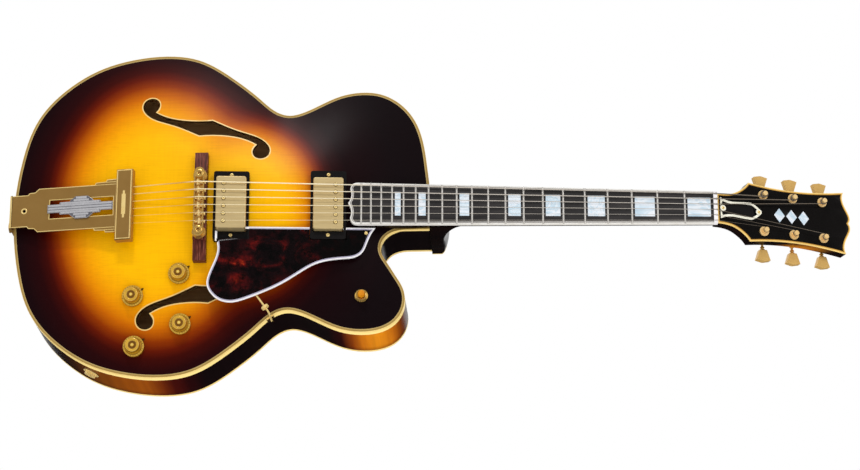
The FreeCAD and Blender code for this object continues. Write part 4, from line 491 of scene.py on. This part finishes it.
# The strings' colour is shaded along the neck by that painted light.
string_light = string_wire.ramp(string_wire.span(string_wire.axis("X"), 0, 1), STRING_LIGHT_STOPS)
string_wire.feed("Base Color", string_wire.shade(string_wire.colour(), string_light))
finishes["string"] = string_wire.material
print("metals ready")

# %% [markdown]
# ## Dressing a solid
# A imported solid is a set of loose triangles. A merged copy of it can be shaded smoothly across its
# curves and stay sharp at its edges, and a small bevel lets an edge catch the light, as every real
# edge does. A Weighted Normal modifier keeps large flat faces flat beside rounded edges, and is
# left off where the whole piece is carved. The copy stands in for the solid, which is hidden.

# %% The dressing helpers
MERGE_DISTANCE = 2e-6
FLAT_ANGLE, HARD_ANGLE = math.radians(0.4), math.radians(40)
body_of_node = {node: body for body, nodes in frame["record"]["behaviour"]["bodies"].items()
                for node in nodes}


def show(shape, name, names, body, nodes=(), sharp=32, even=True):
    """A finished piece from a shape, riding a body and standing for some solids."""
    mesh = bpy.data.meshes.new(name)
    shape.to_mesh(mesh)
    shape.free()
    for finish in names:
        mesh.materials.append(finishes[finish])
    mesh.shade_smooth()
    mesh.set_sharp_from_angle(angle=math.radians(sharp))
    piece = bpy.data.objects.new(name, mesh)
    bpy.context.scene.collection.objects.link(piece)
    if even:
        piece.modifiers.new("even_shading", "WEIGHTED_NORMAL").keep_sharp = True
    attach(piece, body)
    if nodes:
        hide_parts(*nodes)
    return piece


def merged(node):
    """A solid whose triangles share their corners."""
    shape = bmesh.new()
    shape.from_mesh(frame["nodes"][node].data)
    bmesh.ops.remove_doubles(shape, verts=shape.verts, dist=MERGE_DISTANCE)
    return shape


def flatten(shape):
    """Join the triangles of flat faces."""
    bmesh.ops.dissolve_limit(shape, angle_limit=FLAT_ANGLE, verts=shape.verts, edges=shape.edges)


def soften(shape, bevel):
    """Bevel the hard edges of a shape and give the new faces."""
    flatten(shape)
    hard = [edge for edge in shape.edges
            if len(edge.link_faces) == 2 and edge.calc_face_angle() > HARD_ANGLE]
    return bmesh.ops.bevel(shape, geom=hard, offset=bevel * MM, offset_type="OFFSET", segments=2,
                           profile=0.5, affect="EDGES", clamp_overlap=True, material=-1)["faces"]


def dress(node, *names, bevel=0.0, paint=None, edge=0, even=True):
    """A merged copy of a solid, with one finish, or several that a rule or its bevels choose."""
    shape = merged(node)
    if bevel:
        for face in soften(shape, bevel):
            face.material_index = edge
    if paint:
        for face in shape.faces:
            face.material_index = paint(face)
    return show(shape, "dressed_" + node, names, body_of_node[node], [node],
                even=even)


def loose_solids(shape):
    """The loose solids of a shape as lists of faces, the largest first."""
    left = set(shape.faces)
    found = []
    while left:
        stack = [left.pop()]
        solid = []
        while stack:
            face = stack.pop()
            solid.append(face)
            near = {other for edge in face.edges for other in edge.link_faces} & left
            left -= near
            stack.extend(near)
        found.append(solid)
    return sorted(found, key=lambda solid: -sum(face.calc_area() for face in solid))


print("nodes to dress:", len(body_of_node))

# %% [markdown]
# ## Drawing small pieces
# Small pieces are drawn in millimetres about their own foot, with z outwards, by turning an
# outline, raising a flat plate or adding blocks. They are then stood on the guitar, where the
# joint or the solid below gives the place.

# %% Helpers for small pieces
FACE_UP = (0.081417, -0.99668, 0)
HEAD_UP = (0.36926, -0.929326, 0)
TAIL_UP = (-0.13917, -0.99027, 0)
CROWN_DEPTH = 0.00005
# Size of the dark bars that are painted shade in the screw slots.
SLOT_WIDTH, SLOT_DEPTH, SLOT_STEP = 0.16, 0.1, 37


def spun(profile, steps=48):
    """A turned piece from half of its outline, given as radius and height."""
    shape = bmesh.new()
    points = [shape.verts.new((radius, 0, height)) for radius, height in profile]
    edges = [shape.edges.new(pair) for pair in zip(points, points[1:])]
    bmesh.ops.spin(shape, geom=points + edges, cent=(0, 0, 0), axis=(0, 0, 1), dvec=(0, 0, 0),
                   angle=math.tau, steps=steps, use_merge=True, use_duplicate=False)
    bmesh.ops.remove_doubles(shape, verts=shape.verts, dist=1e-4)
    bmesh.ops.recalc_face_normals(shape, faces=shape.faces)
    return shape


def plate(outline, low, high):
    """A flat plate from its corners."""
    shape = bmesh.new()
    face = shape.faces.new([shape.verts.new((along, across, low)) for along, across in outline])
    raised = bmesh.ops.extrude_face_region(shape, geom=[face])["geom"]
    corners = [item for item in raised if isinstance(item, bmesh.types.BMVert)]
    bmesh.ops.translate(shape, vec=(0, 0, high - low), verts=corners)
    bmesh.ops.recalc_face_normals(shape, faces=shape.faces)
    return shape


def rotate(shape, corners, turn, letter):
    """Turn some corners about an axis through the foot, in degrees."""
    matrix = Matrix.Rotation(math.radians(turn), 3, letter)
    bmesh.ops.rotate(shape, cent=(0, 0, 0), matrix=matrix, verts=corners)


def add_block(shape, size, middle, turn=0.0):
    """Add a small block and turn it about the foot."""
    corners = bmesh.ops.create_cube(shape, size=1)["verts"]
    bmesh.ops.scale(shape, vec=size, verts=corners)
    bmesh.ops.translate(shape, vec=middle, verts=corners)
    rotate(shape, corners, turn, "Z")


def stand(shape, place, outward, along=(1, 0, 0)):
    """Stand a piece on the guitar, in metres, with its z axis outwards."""
    up = Vector(outward).normalized()
    side = up.cross(Vector(along)).normalized()
    turn = Matrix((side.cross(up), side, up)).transposed().to_4x4()
    matrix = Matrix.Translation(place) @ turn @ Matrix.Scale(MM, 4)
    bmesh.ops.transform(shape, matrix=matrix, verts=shape.verts)
    return shape


def join(shape, other):
    """Add a second shape to a shape."""
    passing = bpy.data.meshes.new("passing")
    other.to_mesh(passing)
    other.free()
    shape.from_mesh(passing)
    bpy.data.meshes.remove(passing)


def crowns(shape, outward, widest):
    """The middles of the outer ends of the loose solids under some width, in mm."""
    up = Vector(outward)
    found = []
    for solid in loose_solids(shape):
        corners = {corner.co.copy().freeze() for face in solid for corner in face.verts}
        wide = max(corner.z for corner in corners) - min(corner.z for corner in corners)
        if wide < widest * MM:
            top = max(corner.dot(up) for corner in corners)
            ends = [corner for corner in corners if corner.dot(up) > top - CROWN_DEPTH]
            found.append(sum(ends, Vector()) / len(ends))
    return found


def screw_slot_shades(name, places, outward, length, body, turn=25.0):
    """Dark bars in the heads of screws, painted shade for their slots."""
    shape = bmesh.new()
    for number, place in enumerate(places):
        single = bmesh.new()
        size = (length, length * SLOT_WIDTH, SLOT_DEPTH)
        add_block(single, size, (0, 0, 0), turn + SLOT_STEP * number)
        join(shape, stand(single, place, outward))
    show(shape, name, ["ink"], body)


print("small piece helpers ready")

# %% [markdown]
# ## Body
# The lacquered outside and the bare inside of a plate are told apart by the way that its faces
# look. The binding shows its layers on the face of the guitar, and plain cream at the side and
# round the f-holes, whose walls are stained dark. The cream at the side is painted brighter than
# the binding's face, as painted light from below. A carved plate comes as triangles of very
# different sizes, which would show in its gloss, so its corners take the mean normal of the carved
# faces within a few centimetres.

# %% Plates, rim and binding
CARVED_SLOPE, CARVED_REACH = 0.6, 0.03
INNER_SLOPE = 0.25
BINDING_SLOPE = 0.5
WAIST = 0.34
LOWER_MIDDLE, UPPER_MIDDLE, BAY_MIDDLE = (0.2, 0), (0.42, 0), (0.53, -0.1)
F_HOLE_RINGS = (2, 3)
HIDDEN = {"kerfed_linings": "inner_wood", "end_blocks": "inner_wood", "tone_bars": "inner_wood",
          "truss_rod": "steel"}


def tree_of(shape):
    """A search tree of a shape's faces, which uses the shape up."""
    tree = BVHTree.FromBMesh(shape)
    shape.free()
    return tree


def add_ply(shape, *trees):
    """Store the distance of each corner, in mm, from the pieces that a strip is glued to."""
    ply = shape.verts.layers.float.new("ply")
    for corner in shape.verts:
        corner[ply] = min(tree.find_nearest(corner.co)[3] for tree in trees) / MM


def dress_carved(node, finish, outward):
    """A carved plate with lacquer outside, bare wood inside and one even gloss."""
    piece = dress(node, finish, "inner_wood", even=False,
                  paint=lambda face: int(face.normal.dot(outward) < -INNER_SLOPE))
    mesh = piece.data
    carved = [face for face in mesh.polygons if face.normal.dot(outward) > CARVED_SLOPE]
    tree = KDTree(len(carved))
    for number, face in enumerate(carved):
        tree.insert(face.center, number)
    tree.balance()
    normals = [corner.vector.copy() for corner in mesh.corner_normals]
    eased = {}
    for face in carved:
        for loop, corner in zip(face.loop_indices, face.vertices):
            if corner not in eased:
                total = face.normal * face.area
                near = tree.find_range(mesh.vertices[corner].co, CARVED_REACH)
                for _, number, distance in near:
                    share = carved[number].area * (1 - distance / CARVED_REACH)
                    total += carved[number].normal * share
                eased[corner] = total.normalized()
            normals[loop] = eased[corner]
    mesh.normals_split_custom_set(normals)


def side_rule(face):
    """Bare wood on the faces that look into the bouts, or away from the bay of the cutaway."""
    middle = face.calc_center_median()
    in_cutaway = middle.x > HORN_START[0] and HORN_EDGE[0] < middle.z < 0
    centre = BAY_MIDDLE if in_cutaway else LOWER_MIDDLE if middle.x < WAIST else UPPER_MIDDLE
    towards = Vector((centre[0] - middle.x, 0, centre[1] - middle.z))
    return int((face.normal.dot(towards) > 0) != in_cutaway)


dress_carved("top_plate", "top", Vector((0, -1, 0)))
dress_carved("back_plate", "back", Vector((0, 1, 0)))
dress("bass_side", "rim", "inner_wood", paint=side_rule, even=False)
dress("treble_side", "rim", "inner_wood", paint=side_rule, even=False)
body_binding = merged("body_binding")
add_ply(body_binding, tree_of(merged("top_plate")))
for number, ring in enumerate(loose_solids(body_binding)):
    for face in ring:
        # Walls of the binding take the bright cream, painted light from below; its face takes the darker plies.
        wall = int(face.normal.y >= -BINDING_SLOPE)
        face.material_index = wall + (2 if number in F_HOLE_RINGS else 0)
show(body_binding, "dressed_body_binding", ["binding_face_plies_and_shade", "cream", "hole_cream", "ink"], "guitar",
     ["body_binding"], even=False)
for node, finish in HIDDEN.items():
    inner = frame["nodes"][node].data
    inner.materials.clear()
    inner.materials.append(finishes[finish])
print("body dressed")

# %% [markdown]
# ## Neck and headstock
# White layered edging runs round the fingerboard and tan edging round the headstock, both in one
# solid, so the nut parts them. The cover of the truss rod is a black plate with a white border. An
# inset of its top face makes that border, as the maker's router does when it cuts through the
# black layer.

# %% Neck, fingerboard and headstock
NUT_PLACE = 0.888
COVER_BORDER = 3.0
BORDER_SLOPE = 0.99


def add_border(shape, outward, width):
    """Inset the faces that look one way and give the border, some mm wide, the second finish."""
    flatten(shape)
    outer = [face for face in shape.faces if face.normal.dot(Vector(outward)) > BORDER_SLOPE]
    border = bmesh.ops.inset_region(shape, faces=outer, thickness=width * MM, depth=0,
                                    use_boundary=True, use_even_offset=True)["faces"]
    for face in border:
        face.material_index = 1
    return len(border)


dress("neck", "neck", even=False)
dress("fingerboard", "ebony")
dress("frets", "nickel")
dress("pearl_inlays", "pearl")
dress("nut", "bone", bevel=0.2)
dress("headstock_face", "head_black")
neck_binding = merged("neck_binding")
add_ply(neck_binding, tree_of(merged("fingerboard")), tree_of(merged("headstock_face")))
for face in neck_binding.faces:
    face.material_index = int(face.calc_center_median().x > NUT_PLACE)
show(neck_binding, "dressed_neck_binding", ["board_edging", "head_edging"], "guitar",
     ["neck_binding"])
cover = merged("truss_rod_cover")
print("border faces of the cover:", add_border(cover, HEAD_UP, COVER_BORDER))
show(cover, "dressed_truss_rod_cover", ["black", "white"], "guitar",
     ["truss_rod_cover"])
print("neck dressed")

# %% [markdown]
# ## Pickguard
# The guard is a tortoiseshell plate with layered white edging. Its largest loose solid is the
# plate, and the others are the edging. The edging is dark where the guard meets the pickup ring,
# and small strips beside the rings carry the white line and the plate up to the covers. Each strip
# is given by its start and end along the neck and its foot and head across it, in millimetres.

# %% Pickguard and its bracket
NOTCH_ALONG, NOTCH_ACROSS = (0.2562, 0.306), (-0.05, -0.034)
GUARD_HIGH, GUARD_SLOPE = (0.2521, -0.0769), 0.0817
STRIP_THICK = 0.6
GUARD_STRIPS = (
    ("bone", "binding", 261.4, 264, -49, -36),
    ("black", "black_plastic", 302, 304, -47, -32.8),
    ("bone", "binding", 298.8, 303.6, -32.8, -30),
    ("bone", "binding", 421, 425.5, -32.8, -30),
)
BRACKET_FOOT = -0.04
guard_plate = merged("pickguard")
guard_edges = [face for solid in loose_solids(guard_plate)[1:] for face in solid]
bmesh.ops.delete(guard_plate, geom=guard_edges, context="FACES")
guard = merged("pickguard")
add_ply(guard, tree_of(guard_plate))
guard_solids = loose_solids(guard)
for edging in guard_solids[1:]:
    for face in edging:
        middle = face.calc_center_median()
        in_notch = (NOTCH_ALONG[0] < middle.x < NOTCH_ALONG[1]
                    and NOTCH_ACROSS[0] < middle.z < NOTCH_ACROSS[1])
        face.material_index = 2 if in_notch else 1
print("guard solids:", len(guard_solids))
show(guard, "dressed_pickguard", ["shell", "guard_edging", "black"], "guitar",
     ["pickguard"])
for number, (finish, slot, start, end, foot, head) in enumerate(GUARD_STRIPS):
    strip = bmesh.new()
    add_block(strip, (end - start, head - foot, STRIP_THICK), (0, 0, -STRIP_THICK / 2))
    along = (start + end) / 2 * MM
    rise = GUARD_HIGH[1] + GUARD_SLOPE * (along - GUARD_HIGH[0])
    stand(strip, (along, rise, (foot + head) / 2 * MM), FACE_UP)
    show(strip, "guard_strip_%d" % number, [finish], "guitar")
dress("pickguard_bracket", "pale_gold", "dark_gold",
      paint=lambda face: int(face.calc_center_median().y > BRACKET_FOOT))

# %% [markdown]
# ## Pickups
# Each cover is satin gold with a row of polished pole screws, in a black ring. The poles are the
# small loose solids of the pickup, and a dark turned ring lines the hole round each, as painted
# shade in that hole; dark bars in the pole screws are painted shade for their slots. The screws of
# the truss rod cover each have a white ring round them.

# %% Pickups, rings and screws
# Outline of the dark ring that is painted shade round each pole.
POLE_SHADE_RING = ((2.35, -1.5), (2.35, -0.55), (3.0, -0.6), (3.0, -1.5), (2.35, -1.5))
POLE_WIDEST, POLE_LEVEL, POLE_SLOT = 6, 0.06, 3.4
SCREW_WIDEST, SCREW_SLOT = 9, 3.2
HEAD_START = 0.8
COVER_RING = ((1.9, 0), (1.9, 0.5), (3.6, 0.5), (3.9, 0.2), (3.9, 0))
COVER_SINK = 0.9


def dress_pickup(node):
    """Dress a pickup with its poles and give the number of poles."""
    shape = merged(node)
    for solid in loose_solids(shape):
        spread = [corner.co.z for face in solid for corner in face.verts]
        if max(spread) - min(spread) < POLE_WIDEST * MM:
            for face in solid:
                face.material_index = 1
    poles = [place for place in crowns(shape, FACE_UP, POLE_WIDEST)
             if place.dot(Vector(FACE_UP)) > POLE_LEVEL]
    show(shape, "dressed_" + node, ["satin_gold", "pale_gold"], node, [node], 28)
    # Painted shade in the slots of the pole screws.
    screw_slot_shades(node + "_slot_shades", poles, FACE_UP, POLE_SLOT, node)
    # Dark rings round the poles, painted shade in their holes.
    well_shade = bmesh.new()
    for place in poles:
        join(well_shade, stand(spun(POLE_SHADE_RING, 24), place, FACE_UP))
    show(well_shade, node + "_well_shade", ["ink"], node)
    return len(poles)


print("poles:", dress_pickup("bridge_pickup"), dress_pickup("neck_pickup"))
dress("pickup_rings", "black", bevel=0.5)
screws = merged("screws")
face_screws = [place for place in crowns(screws, FACE_UP, SCREW_WIDEST) if place.x < HEAD_START]
head_screws = [place for place in crowns(screws, HEAD_UP, SCREW_WIDEST) if place.x > HEAD_START]
show(screws, "dressed_screws", ["pale_gold"], "guitar", ["screws"])
# Painted shade in the slots of the face and headstock screws.
screw_slot_shades("face_screw_slot_shades", face_screws, FACE_UP, SCREW_SLOT, "guitar")
screw_slot_shades("head_screw_slot_shades", head_screws, HEAD_UP, SCREW_SLOT, "guitar")
cover_rings = bmesh.new()
for place in head_screws:
    sunk = place - Vector(HEAD_UP) * COVER_SINK * MM
    join(cover_rings, stand(spun(COVER_RING, 32), sunk, HEAD_UP))
show(cover_rings, "cover_screw_rings", ["white"], "guitar")
print("screws:", len(face_screws) + len(head_screws))

# %% [markdown]
# ## Bridge
# The rosewood base carries two posts with thumbwheels, and the gold frame rides on them with its
# six saddles. A turned boss sits on each end of the frame, open in the middle for the slotted end
# of the post.

# %% Bridge
BOSS = ((2.3, 0), (2.3, 0.9), (2.9, 1.2), (4.6, 1.2), (5.3, 0.8), (5.6, 0), (2.3, 0))
BRIDGE_UP = (0, -1, 0)
POST_SLOT, POST_TURN = 3.4, 60
dress("bridge_base", "rosewood", bevel=0.3)
dress("bridge_posts", "gold")
dress("bridge_frame", "gold", bevel=0.25)
dress("saddle_screws", "pale_gold")
for number in range(1, 7):
    dress("saddle_%d" % number, "pale_gold", bevel=0.25)
frame_top, post_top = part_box("bridge_frame")[0].y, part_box("bridge_posts")[0].y
post_ends = []
for side in ("bass", "treble"):
    dress("thumbwheel_" + side, "gold", bevel=0.2)
    wheel_low, wheel_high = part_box("thumbwheel_" + side)
    middle = (wheel_low + wheel_high) / 2
    boss = stand(spun(BOSS, 32), (middle.x, frame_top, middle.z), BRIDGE_UP)
    show(boss, "bridge_boss_" + side, ["gold"], "bridge")
    post_ends.append(Vector((middle.x, post_top, middle.z)))
# Painted shade in the slotted ends of the bridge posts.
screw_slot_shades("bridge_post_slot_shades", post_ends, BRIDGE_UP, POST_SLOT, "guitar", POST_TURN)
print("bridge post end at", tuple(round(c, 4) for c in post_ends[0]))

# %% [markdown]
# ## Tailpiece
# The tailpiece is a stepped plate of satin gold with a crossbar for the strings. A bright border
# outlines it, and bright lines carry the steps on to the crossbar; both are painted highlights
# where its edges catch the light. A plain ring is turned round the screw hole, a long lozenge is
# set in the crossbar, and a silver insert lies in the slot. Its ribs are flattened rods that run
# with the strings, longest in the middle, and the insert below them is painted darker as the shade
# in the grooves between them.

# %% Tailpiece, insert and strap button
TAIL_FOOT = (0, -0.05785, 0)
TAIL_ALONG = (0.99027, -0.13917, 0)
# Width of the bright border, a painted highlight round the tailpiece's top face.
TAIL_HIGHLIGHT_BORDER = 0.9
BAR_MIDDLE, BAR_TOP = 147.5, 3.0
LOZENGE = (
    (-1.3, -18), (1.3, -18), (1.3, -13.5), (2.6, -13.5), (2.6, 13.5), (1.3, 13.5),
    (1.3, 18), (-1.3, 18), (-1.3, 13.5), (-2.6, 13.5), (-2.6, -13.5), (-1.3, -13.5),
)
LOZENGE_LEVELS = (-0.1, 0.25)
HOLE_MIDDLE = 16.5
HOLE_RING = ((2.4, 0), (2.4, 0.3), (2.8, 0.45), (3.5, 0.45), (3.9, 0.3), (3.9, 0))
# Bright raised lines along the steps, painted highlights.
STEP_HIGHLIGHTS = ((108, 28.6), (123, 31.8))
STEP_END = 137
LINE_WIDTH, LINE_THICK, LINE_RISE = 0.7, 0.3, 0.05
INSERT_RISE = 2.4
RIB_RADIUS = 1.45
RIB_FLATNESS = 0.5
RIB_RUNS = ((0, 49, 132), (3.5, 49, 132), (6.2, 65, 116), (9.4, 82, 102), (12.6, 85, 99))


def add_rod(shape, length, middle):
    """Add a flattened rod that lies along x."""
    corners = bmesh.ops.create_cone(shape, cap_ends=True, segments=20, radius1=RIB_RADIUS,
                                    radius2=RIB_RADIUS, depth=length)["verts"]
    rotate(shape, corners, 90, "Y")
    bmesh.ops.scale(shape, vec=(1, 1, RIB_FLATNESS), verts=corners)
    bmesh.ops.translate(shape, vec=middle, verts=corners)


def show_on_tail(shape, along, up, name, finish):
    """Stand a piece on the tailpiece, some mm along it and above it, and show it."""
    place = Vector(TAIL_FOOT) + (Vector(TAIL_ALONG) * along + Vector(TAIL_UP) * up) * MM
    show(stand(shape, place, TAIL_UP, TAIL_ALONG), name, [finish], "guitar")


tailpiece = merged("tailpiece")
# A painted highlight as a bright border round the top face.
add_border(tailpiece, TAIL_UP, TAIL_HIGHLIGHT_BORDER)
show(tailpiece, "dressed_tailpiece", ["tail_gold", "pale_gold"], "guitar", ["tailpiece"])
# The insert's body is painted darker as the shade in its grooves; its bevels and the ribs take the bright silver.
dress("tailpiece_insert", "groove_shade_silver", "silver", bevel=0.4, edge=1)
dress("strap_button", "gold")
lozenge = plate(LOZENGE, *LOZENGE_LEVELS)
show_on_tail(lozenge, BAR_MIDDLE, BAR_TOP, "crossbar_lozenge", "pale_gold")
show_on_tail(spun(HOLE_RING, 32), HOLE_MIDDLE, 0, "tail_hole_ring", "pale_gold")
step_highlights = bmesh.new()
ribs = bmesh.new()
for side in (-1, 1):
    for start, across in STEP_HIGHLIGHTS:
        middle = ((start + STEP_END) / 2, across * side, LINE_RISE)
        add_block(step_highlights, (STEP_END - start, LINE_WIDTH, LINE_THICK), middle)
    for across, start, end in RIB_RUNS:
        if across or side > 0:
            add_rod(ribs, end - start, ((start + end) / 2, across * side, INSERT_RISE))
show_on_tail(step_highlights, 0, 0, "tail_step_highlights", "pale_gold")
show_on_tail(ribs, 0, 0, "insert_ribs", "silver")
print("tailpiece dressed")

# %% [markdown]
# ## Knobs
# A knob is a turned hat of clear amber over gold: a low brim with scale marks, a tapering crown
# and a sunk disc with a bright dot. Its tones change from ring to ring, so the distance from the
# axis is kept as an attribute that a ramp turns into rings. The rings mix the knob's own amber and
# gold with painted highlights on ring edges and painted shade in the sunk disc, at the crown's edge
# and under the shoulder. The small dark pointer below it stays with the guitar.

# %% Turned knobs
KNOBS = ("neck_volume", "bridge_volume", "neck_tone", "bridge_tone")
KNOB_RADIUS = 13.4
KNOB_OUTLINE = (
    (0, 14), (1.7, 14), (2.3, 13.5), (2.7, 13.1), (5.1, 13.1), (5.6, 13.6), (6, 14.8), (6.4, 15),
    (8, 15), (8.5, 14.7), (8.8, 14), (10.3, 6.2), (10.5, 5), (11, 4.5), (12.9, 4.3), (13.4, 3.8),
    (13.4, 0.6), (12.8, 0), (0, 0),
)
# Rings of amber and gold, with painted highlights on ring edges and painted shade in the sunk disc, at the crown's
# edge and under the shoulder.
KNOB_RINGS_AND_SHADING = [
    (0.0, tint(255, 234, 140)), (0.14, tint(232, 186, 70)), (0.19, tint(118, 76, 8)),
    (0.36, tint(134, 88, 12)), (0.42, tint(250, 210, 96)), (0.48, tint(226, 176, 56)),
    (0.59, tint(214, 164, 48)), (0.63, tint(252, 216, 110)), (0.67, tint(150, 100, 18)),
    (0.76, tint(196, 144, 32)), (0.79, tint(122, 80, 10)), (0.84, tint(214, 166, 48)),
    (0.95, tint(238, 194, 80)), (1.0, tint(156, 108, 22)),
]
MARKS = 21
MARK_SIZE, MARK_PLACE = (1.5, 0.4, 0.12), (12.0, 0, 4.4)
MARK_START, MARK_STEP = -105.0, 15.0
POINTER = ((8, -2.4), (13, -1.8), (16.6, -0.5), (16.6, 0.5), (13, 1.8), (8, 2.4))
POINTER_LEVELS = (-0.7, -0.25)
POINTER_TURN = 38

knob_gold = Finish("amber_gold_knob", roughness=0.22, metallic=0.2, coat=0.5)
knob_share = knob_gold.span(knob_gold.attribute("ring"), 0, KNOB_RADIUS)
knob_cloud = knob_gold.noise(knob_gold.place(), 120.0)
knob_cloud = knob_gold.ramp(knob_cloud, [(0.3, tint(232, 226, 214)), (0.7, WHITE)])
knob_gold.feed("Base Color", knob_gold.shade(knob_gold.ramp(knob_share, KNOB_RINGS_AND_SHADING), knob_cloud))
finishes["knob"] = knob_gold.material

joint_of = {joint["name"]: joint for joint in frame["joints"]}
for knob in KNOBS:
    body = knob + "_knob"
    place, outward = joint_of[knob + "_turn"]["pos_m"], joint_of[knob + "_turn"]["axis"]
    hat = spun(KNOB_OUTLINE)
    ring = hat.verts.layers.float.new("ring")
    for corner in hat.verts:
        corner[ring] = math.hypot(corner.co.x, corner.co.y)
    show(stand(hat, place, outward), knob + "_hat", ["knob"], body, [body])
    marks = bmesh.new()
    for number in range(MARKS):
        add_block(marks, MARK_SIZE, MARK_PLACE, MARK_START + MARK_STEP * number)
    show(stand(marks, place, outward), knob + "_marks", ["ink"], body)
    pointer = plate(POINTER, *POINTER_LEVELS)
    rotate(pointer, pointer.verts, POINTER_TURN, "Z")
    show(stand(pointer, place, outward), knob + "_pointer", ["dark_gold"], "guitar")
print("knobs turned")

# %% [markdown]
# ## Switch, jack, tuners and strings
# The toggle has an amber tip in a gold collar. The tuner buttons are flat gold paddles with eased
# edges, and a turned collar dresses each shaft. The strings were modelled whole as solids and need
# only their wire.

# %% Switch, jack, tuners and strings
COLLAR = (
    (1.2, 13), (2.7, 13.2), (2.9, 14.2), (2.0, 15), (1.9, 15.8), (3.4, 16.6), (3.6, 17.4),
    (2.2, 18), (1.2, 18),
)
dress("controls", "gold")
dress("switch_lever", "amber")
dress("output_jack", "pale_gold", bevel=0.2)
dress("tuner_housings", "gold", bevel=0.4)
dress("tuner_bushings", "post_gold", bevel=0.2)
for number in range(1, 7):
    button = "tuner_button_%d" % number
    turn = joint_of[button + "_turn"]
    dress(button, "button_gold", bevel=0.6)
    collar = stand(spun(COLLAR, 24), turn["pos_m"], turn["axis"])
    show(collar, button + "_collar", ["gold"], button)
    dress("tuner_post_%d" % number, "post_gold", bevel=0.2)
dress("strings", "string")
print("small hardware dressed")

# %% [markdown]
# ## Studio
# A product photograph on white is lit by large soft sources. The world is white where the camera
# or a mirror sees it and dimmer as a light. Grey cards behind and above the camera give polished
# pieces something to mirror, and dark cards under and behind the guitar keep its rim deep. They
# only show in reflections. The key light stands high in front, where the upper bout mirrors it as
# a soft sheen. The floor is a pale sheet far below.

# %% Floor, world and lamps
WORLD_LIGHT, WORLD_SEEN = 0.66, 1.0
MIRROR_CARDS = (
    ("grey_card", (0.5, -4.6, 2.0), (14, 8), 90, 0.16),
    ("high_card", (0.5, -2.8, 6.0), (14, 3.6), 0, 0.16),
    ("low_card", (0.5, 1.0, -0.62), (9, 4.8), 0, 0.01),
    ("back_card", (0.5, 3.4, -0.1), (9, 1.2), 90, 0.01),
)
LAMPS = (
    ("key", (0.15, -2.25, 2.12), (0.36, 0, 0.05), (0.5, 0.35), 24),
    ("fill", (1.9, -2.6, 0.9), (0.6, 0, 0), (1.4, 1.4), 12),
)
world = bpy.data.worlds.new("studio")
bpy.context.scene.world = world
world.use_nodes = True
sky = world.node_tree
background = sky.nodes["Background"]
path = sky.nodes.new("ShaderNodeLightPath")
seen = path.outputs["Is Camera Ray"]
for ray in ("Is Glossy Ray", "Is Transmission Ray"):
    either = sky.nodes.new("ShaderNodeMath")
    either.operation = "MAXIMUM"
    sky.links.new(seen, either.inputs[0])
    sky.links.new(path.outputs[ray], either.inputs[1])
    seen = either.outputs[0]
level = sky.nodes.new("ShaderNodeMapRange")
level.inputs["To Min"].default_value = WORLD_LIGHT
level.inputs["To Max"].default_value = WORLD_SEEN
sky.links.new(seen, level.inputs["Value"])
sky.links.new(level.outputs["Result"], background.inputs["Strength"])
background.inputs["Color"].default_value = WHITE


def card(name, centre, size, turn, grey, strength):
    """A flat stage card with a plain glow."""
    shape = bmesh.new()
    bmesh.ops.create_grid(shape, x_segments=1, y_segments=1, size=0.5)
    bmesh.ops.scale(shape, vec=(*size, 1), verts=shape.verts)
    rotate(shape, shape.verts, turn, "X")
    bmesh.ops.translate(shape, vec=centre, verts=shape.verts)
    mesh = bpy.data.meshes.new(name)
    shape.to_mesh(mesh)
    shape.free()
    piece = bpy.data.objects.new(name, mesh)
    bpy.context.scene.collection.objects.link(piece)
    glow = Finish(name, roughness=0.9, specular=0.0)
    glow.shader.inputs["Base Color"].default_value = (grey, grey, grey, 1)
    glow.shader.inputs["Emission Color"].default_value = (grey, grey, grey, 1)
    glow.shader.inputs["Emission Strength"].default_value = strength
    mesh.materials.append(glow.material)
    return piece


card("floor", (0.45, 0, -1.7), (16, 16), 0, 0.9, 0.6)
for name, centre, size, turn, grey in MIRROR_CARDS:
    mirror = card(name, centre, size, turn, grey, 1.0)
    mirror.visible_camera = False
    mirror.visible_diffuse = False
    mirror.visible_shadow = False
for name, place, target, size, power in LAMPS:
    light = bpy.data.lights.new(name, "AREA")
    light.shape = "RECTANGLE"
    light.size, light.size_y = size
    light.energy = power
    lamp = bpy.data.objects.new(name, light)
    lamp.location = place
    aim = Vector(target) - Vector(place)
    lamp.rotation_euler = aim.to_track_quat("-Z", "Y").to_euler()
    bpy.context.scene.collection.objects.link(lamp)
bpy.context.scene.view_settings.view_transform = "Standard"
print("studio lit")
